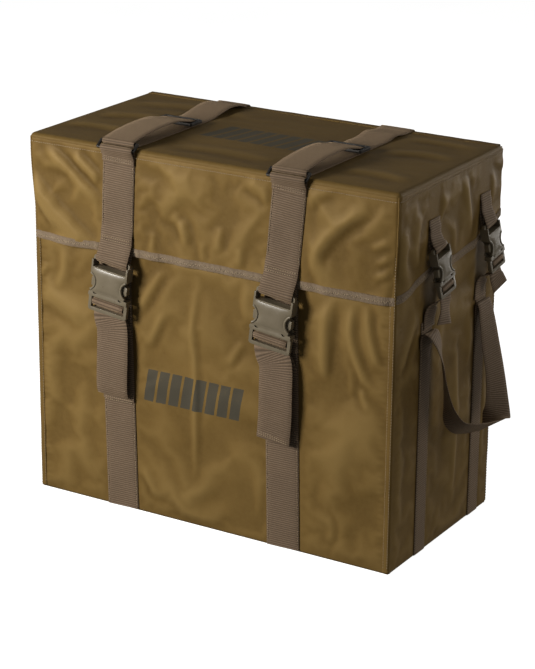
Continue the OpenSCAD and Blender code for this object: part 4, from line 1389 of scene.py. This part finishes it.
def buildSideTabs():
    pieces = []
    for mirrored in (False, True):
        for spot in sideSpots:
            y, x = spot[0][1], lid["x"] / mm + 0.9
            route = [(x, y - 4, 462, 0, 1, 0), (x + 0.2, y - 4, 456, 0, 1, 0), (x + 1.8, y - 4, 450, 0, 1, 0),
                     (x + 2.4, y - 4, 441, 0, 1, 0), (x + 7, y - 5, 432, 0, 1, 0.1)]
            route += barRoute(spot, sideScale)
            route += [(x + 1.4, y - 5, 431, 0, 1, 0.1), (x, y - 4, 438, 0, 1, 0), (x, y - 4, 449, 0, 1, 0)]
            pieces.append(ribbon("tab", stopsOf(route, mirrored), bag["tapeWidth"]))
            side = -1 if mirrored else 1
            for z in (459, 455):
                lidThread.append(crossRow(side * (x + 1) * mm, (y - 4) * mm, z * mm, 12 * mm, (0, 1, 0),
                                          (side, 0, 0)))
    piece = joinPieces("side_tab_webbing", pieces)
    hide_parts("side_tabs")
    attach(piece, "lid")


# The right handle from its front sewn end down, round under the hand and up to its rear one, in millimetres,
# each stop with the direction across the webbing
handleWidth = 38 * mm
handleRoute = [
    (281.8, -57, 292, 0, -1, 0), (281.9, -57, 304, 0, -1, 0), (284.6, -56.5, 310.5, 0, -1, 0.05),
    (290, -55, 309, 0.1, -1, 0.1), (296, -52, 297, 0.3, -1, 0.1), (300, -49, 275, 0.5, -0.86, 0),
    (304, -46, 245, 0.55, -0.8, 0), (309, -42, 212, 0.7, -0.65, 0.1), (314, -33, 186, 0.85, -0.3, 0.35),
    (318, -15, 172, 0.85, 0, 0.5), (321, 10, 164, 0.83, 0, 0.56), (322, 40, 157, 0.83, 0.05, 0.56),
    (321, 68, 152, 0.8, 0.3, 0.5), (317, 88, 158, 0.6, 0.75, 0.2), (311, 99, 180, 0.4, 0.9, 0),
    (304, 103, 215, 0.25, 0.97, 0), (297, 102, 250, 0.2, 0.97, 0), (291, 100.5, 285, 0.1, 1, 0),
    (286.6, 100, 306, 0, 1, 0), (283.6, 100, 310.5, 0, 1, 0), (281.9, 100, 304, 0, 1, 0),
    (281.8, 100, 292, 0, 1, 0),
]


def buildHandles():
    for mirrored, side in ((False, "right"), (True, "left")):
        stops = stopsOf(handleRoute, mirrored)
        piece = ribbon(f"{side}_handle_webbing", stops, handleWidth)
        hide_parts(f"{side}_handle")
        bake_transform(piece)


# ---- mouldings and metal: merged copies of the frame's own shapes with softened edges
def mouldedCopy(node, finish, soften):
    work = bmesh.new()
    work.from_mesh(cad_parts[node].data)
    bmesh.ops.remove_doubles(work, verts=work.verts, dist=1e-6)
    bmesh.ops.dissolve_limit(work, angle_limit=math.radians(0.6), verts=work.verts, edges=work.edges)
    mesh = bpy.data.meshes.new(node + "_moulded")
    work.to_mesh(mesh)
    work.free()
    mesh.shade_smooth()
    mesh.materials.append(paint[finish])
    piece = addObject(node + "_moulded", mesh)
    bevel = piece.modifiers.new("soften", "BEVEL")
    bevel.width, bevel.segments, bevel.limit_method = soften, 3, "ANGLE"
    bevel.angle_limit, bevel.harden_normals = math.radians(28), True
    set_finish(piece, finish)
    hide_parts(node)
    return piece


# Each socket's spot, its scale, and whether it is the left copy of a right one
socketJobs = [(s, 1, False) for s in frontSpots] + [(s, sideScale, m) for s in sideSpots for m in (False, True)]
notch = {"z": 2.5, "radius": 12.5, "centre": 2.6, "out": 5.0, "bar": 1.6, "face": 14.0}


def socketHalf(k):
    return ((bag["strapWidth"] if k == 1 else bag["tapeWidth"]) / mm / 2) + 1


def placedAt(local, spot):
    # a buckle's own millimetres, measured from its spot, to metres in the frame
    basis = np.array([turned(e, spot[1]) for e in np.eye(3)])
    return (local @ basis + np.array(spot[0])) * mm


def rimRings(spot, k, mirrored):
    # the raised lip round each thumb notch of a socket: a round bar bent through most of a circle
    half = socketHalf(k)
    rings = []
    for side in (1, -1):
        a = np.radians(np.linspace(100, 260, 40))
        r = notch["radius"] * k + 0.9
        across = side * (half + notch["centre"] + notch["out"] * k + r * np.cos(a))
        high = notch["z"] * k + r * np.sin(a)
        keep = side * across <= half + 2.4
        across, high = across[keep], high[keep]
        ahead = unit(np.gradient(np.stack([across, high], -1), axis=0))
        turn = 2 * np.pi * np.arange(10) / 10
        bar = notch["bar"] * k
        lx = across[:, None] + bar * np.cos(turn)[None, :] * ahead[:, 1:2]
        lz = high[:, None] - bar * np.cos(turn)[None, :] * ahead[:, :1]
        ly = -notch["face"] * k + 0.25 * k + bar * 0.9 * np.sin(turn)[None, :] + 0 * lx
        world = placedAt(np.stack([lx, ly, lz], -1).reshape(-1, 3), spot)
        if mirrored:
            world[:, 0] *= -1
        rings.append(world.reshape(len(across), 10, 3))
    return rings


def buildSocketRims():
    pieces = []
    for spot, k, mirrored in socketJobs:
        for rings in rimRings(spot, k, mirrored):
            uv = np.zeros((rings.shape[0], rings.shape[1] + 1, 2))
            pieces.append(tube("rim", rings, uv, "buckle"))
    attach(joinPieces("socket_notch_rims", pieces), "lid")


def plateGrid(spot, k, mirrored):
    # the socket's face between its notches: it swells as (1 - s^4)(1 - t^4) across its width and height
    half = socketHalf(k)
    s, t = np.meshgrid(np.linspace(-1, 1, 41), np.linspace(-1, 1, 33))
    z = (6.4 + 16.2 * t) * k
    reach = (notch["radius"] * k + 2.6) ** 2 - (z - notch["z"] * k) ** 2
    side = half + notch["centre"] + notch["out"] * k - np.sqrt(np.maximum(reach, 0))
    x = s * np.minimum(half + 1.7, side)
    rise = 1.5 * k * (1 - s**4) * (1 - t**4)
    face = -notch["face"] * k - rise
    layers = []
    for y in (face + 0.1, face + 0.9):
        world = placedAt(np.stack([x, y, z], -1), spot)
        if mirrored:
            world = world[:, ::-1] * [-1, 1, 1]
        layers.append(world)
    return layers


def buildSocketPlates():
    pieces = []
    for spot, k, mirrored in socketJobs:
        outer, inner = plateGrid(spot, k, mirrored)
        pieces.append(slab("plate", outer, inner, np.zeros((*outer.shape[:2], 2)), "buckle"))
    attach(joinPieces("socket_face_plates", pieces), "lid")


def buildBuckles():
    for side in ("left", "right"):
        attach(mouldedCopy(f"front_{side}_socket", "buckle", 1.1 * mm), "lid")
        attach(mouldedCopy(f"slider_{side}", "steel", 0.6 * mm), f"slider_{side}")
    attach(mouldedCopy("side_sockets", "buckle", 0.8 * mm), "lid")
    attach(mouldedCopy("strap_rings", "steel", 0.9 * mm), "lid")
    for name in ("front_left", "front_right", "right_front", "right_rear", "left_front", "left_rear"):
        soften = 0.9 * mm if name.startswith("front") else 0.6 * mm
        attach(mouldedCopy(f"{name}_plug", "buckle", soften), f"{name}_plug")
        for latch in ("latch_l", "latch_r"):
            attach(mouldedCopy(f"{name}_{latch}", "buckle", 0.6 * mm), f"{name}_{latch}")
    buildSocketRims()
    buildSocketPlates()


buildSewnStraps()
buildBuckleWebbing()
buildLidStraps()
buildSideTabs()
buildHandles()
print("webbing made")
buildBuckles()
threadPiece("bag_stitching", bagThread, "bag")
threadPiece("lid_stitching", lidThread, "lid")
print("buckles and thread made")


# ---- floor
def addFloor():
    mesh = bpy.data.meshes.new("studio_floor")
    reach = 6.0
    corners = [(-reach, -reach, 0), (reach, -reach, 0), (reach, reach, 0), (-reach, reach, 0)]
    mesh.from_pydata(corners, [], [(0, 1, 2, 3)])
    material, tree, surface = newMaterial("pale_floor")
    place = nodeOf(tree, "ShaderNodeTexCoord").outputs["Object"]
    tone = mixColour(tree, noise(tree, place, 0.5), (0.78, 0.78, 0.78), (0.82, 0.82, 0.815))
    setSurface(tree, surface, {"Base Color": tone, "Emission Color": tone, "Emission Strength": 1.1,
                               "Roughness": 0.8})
    mesh.materials.append(material)
    floor = addObject("studio_floor", mesh)
    floor.visible_diffuse = floor.visible_glossy = False


addFloor()
print("scene ready")
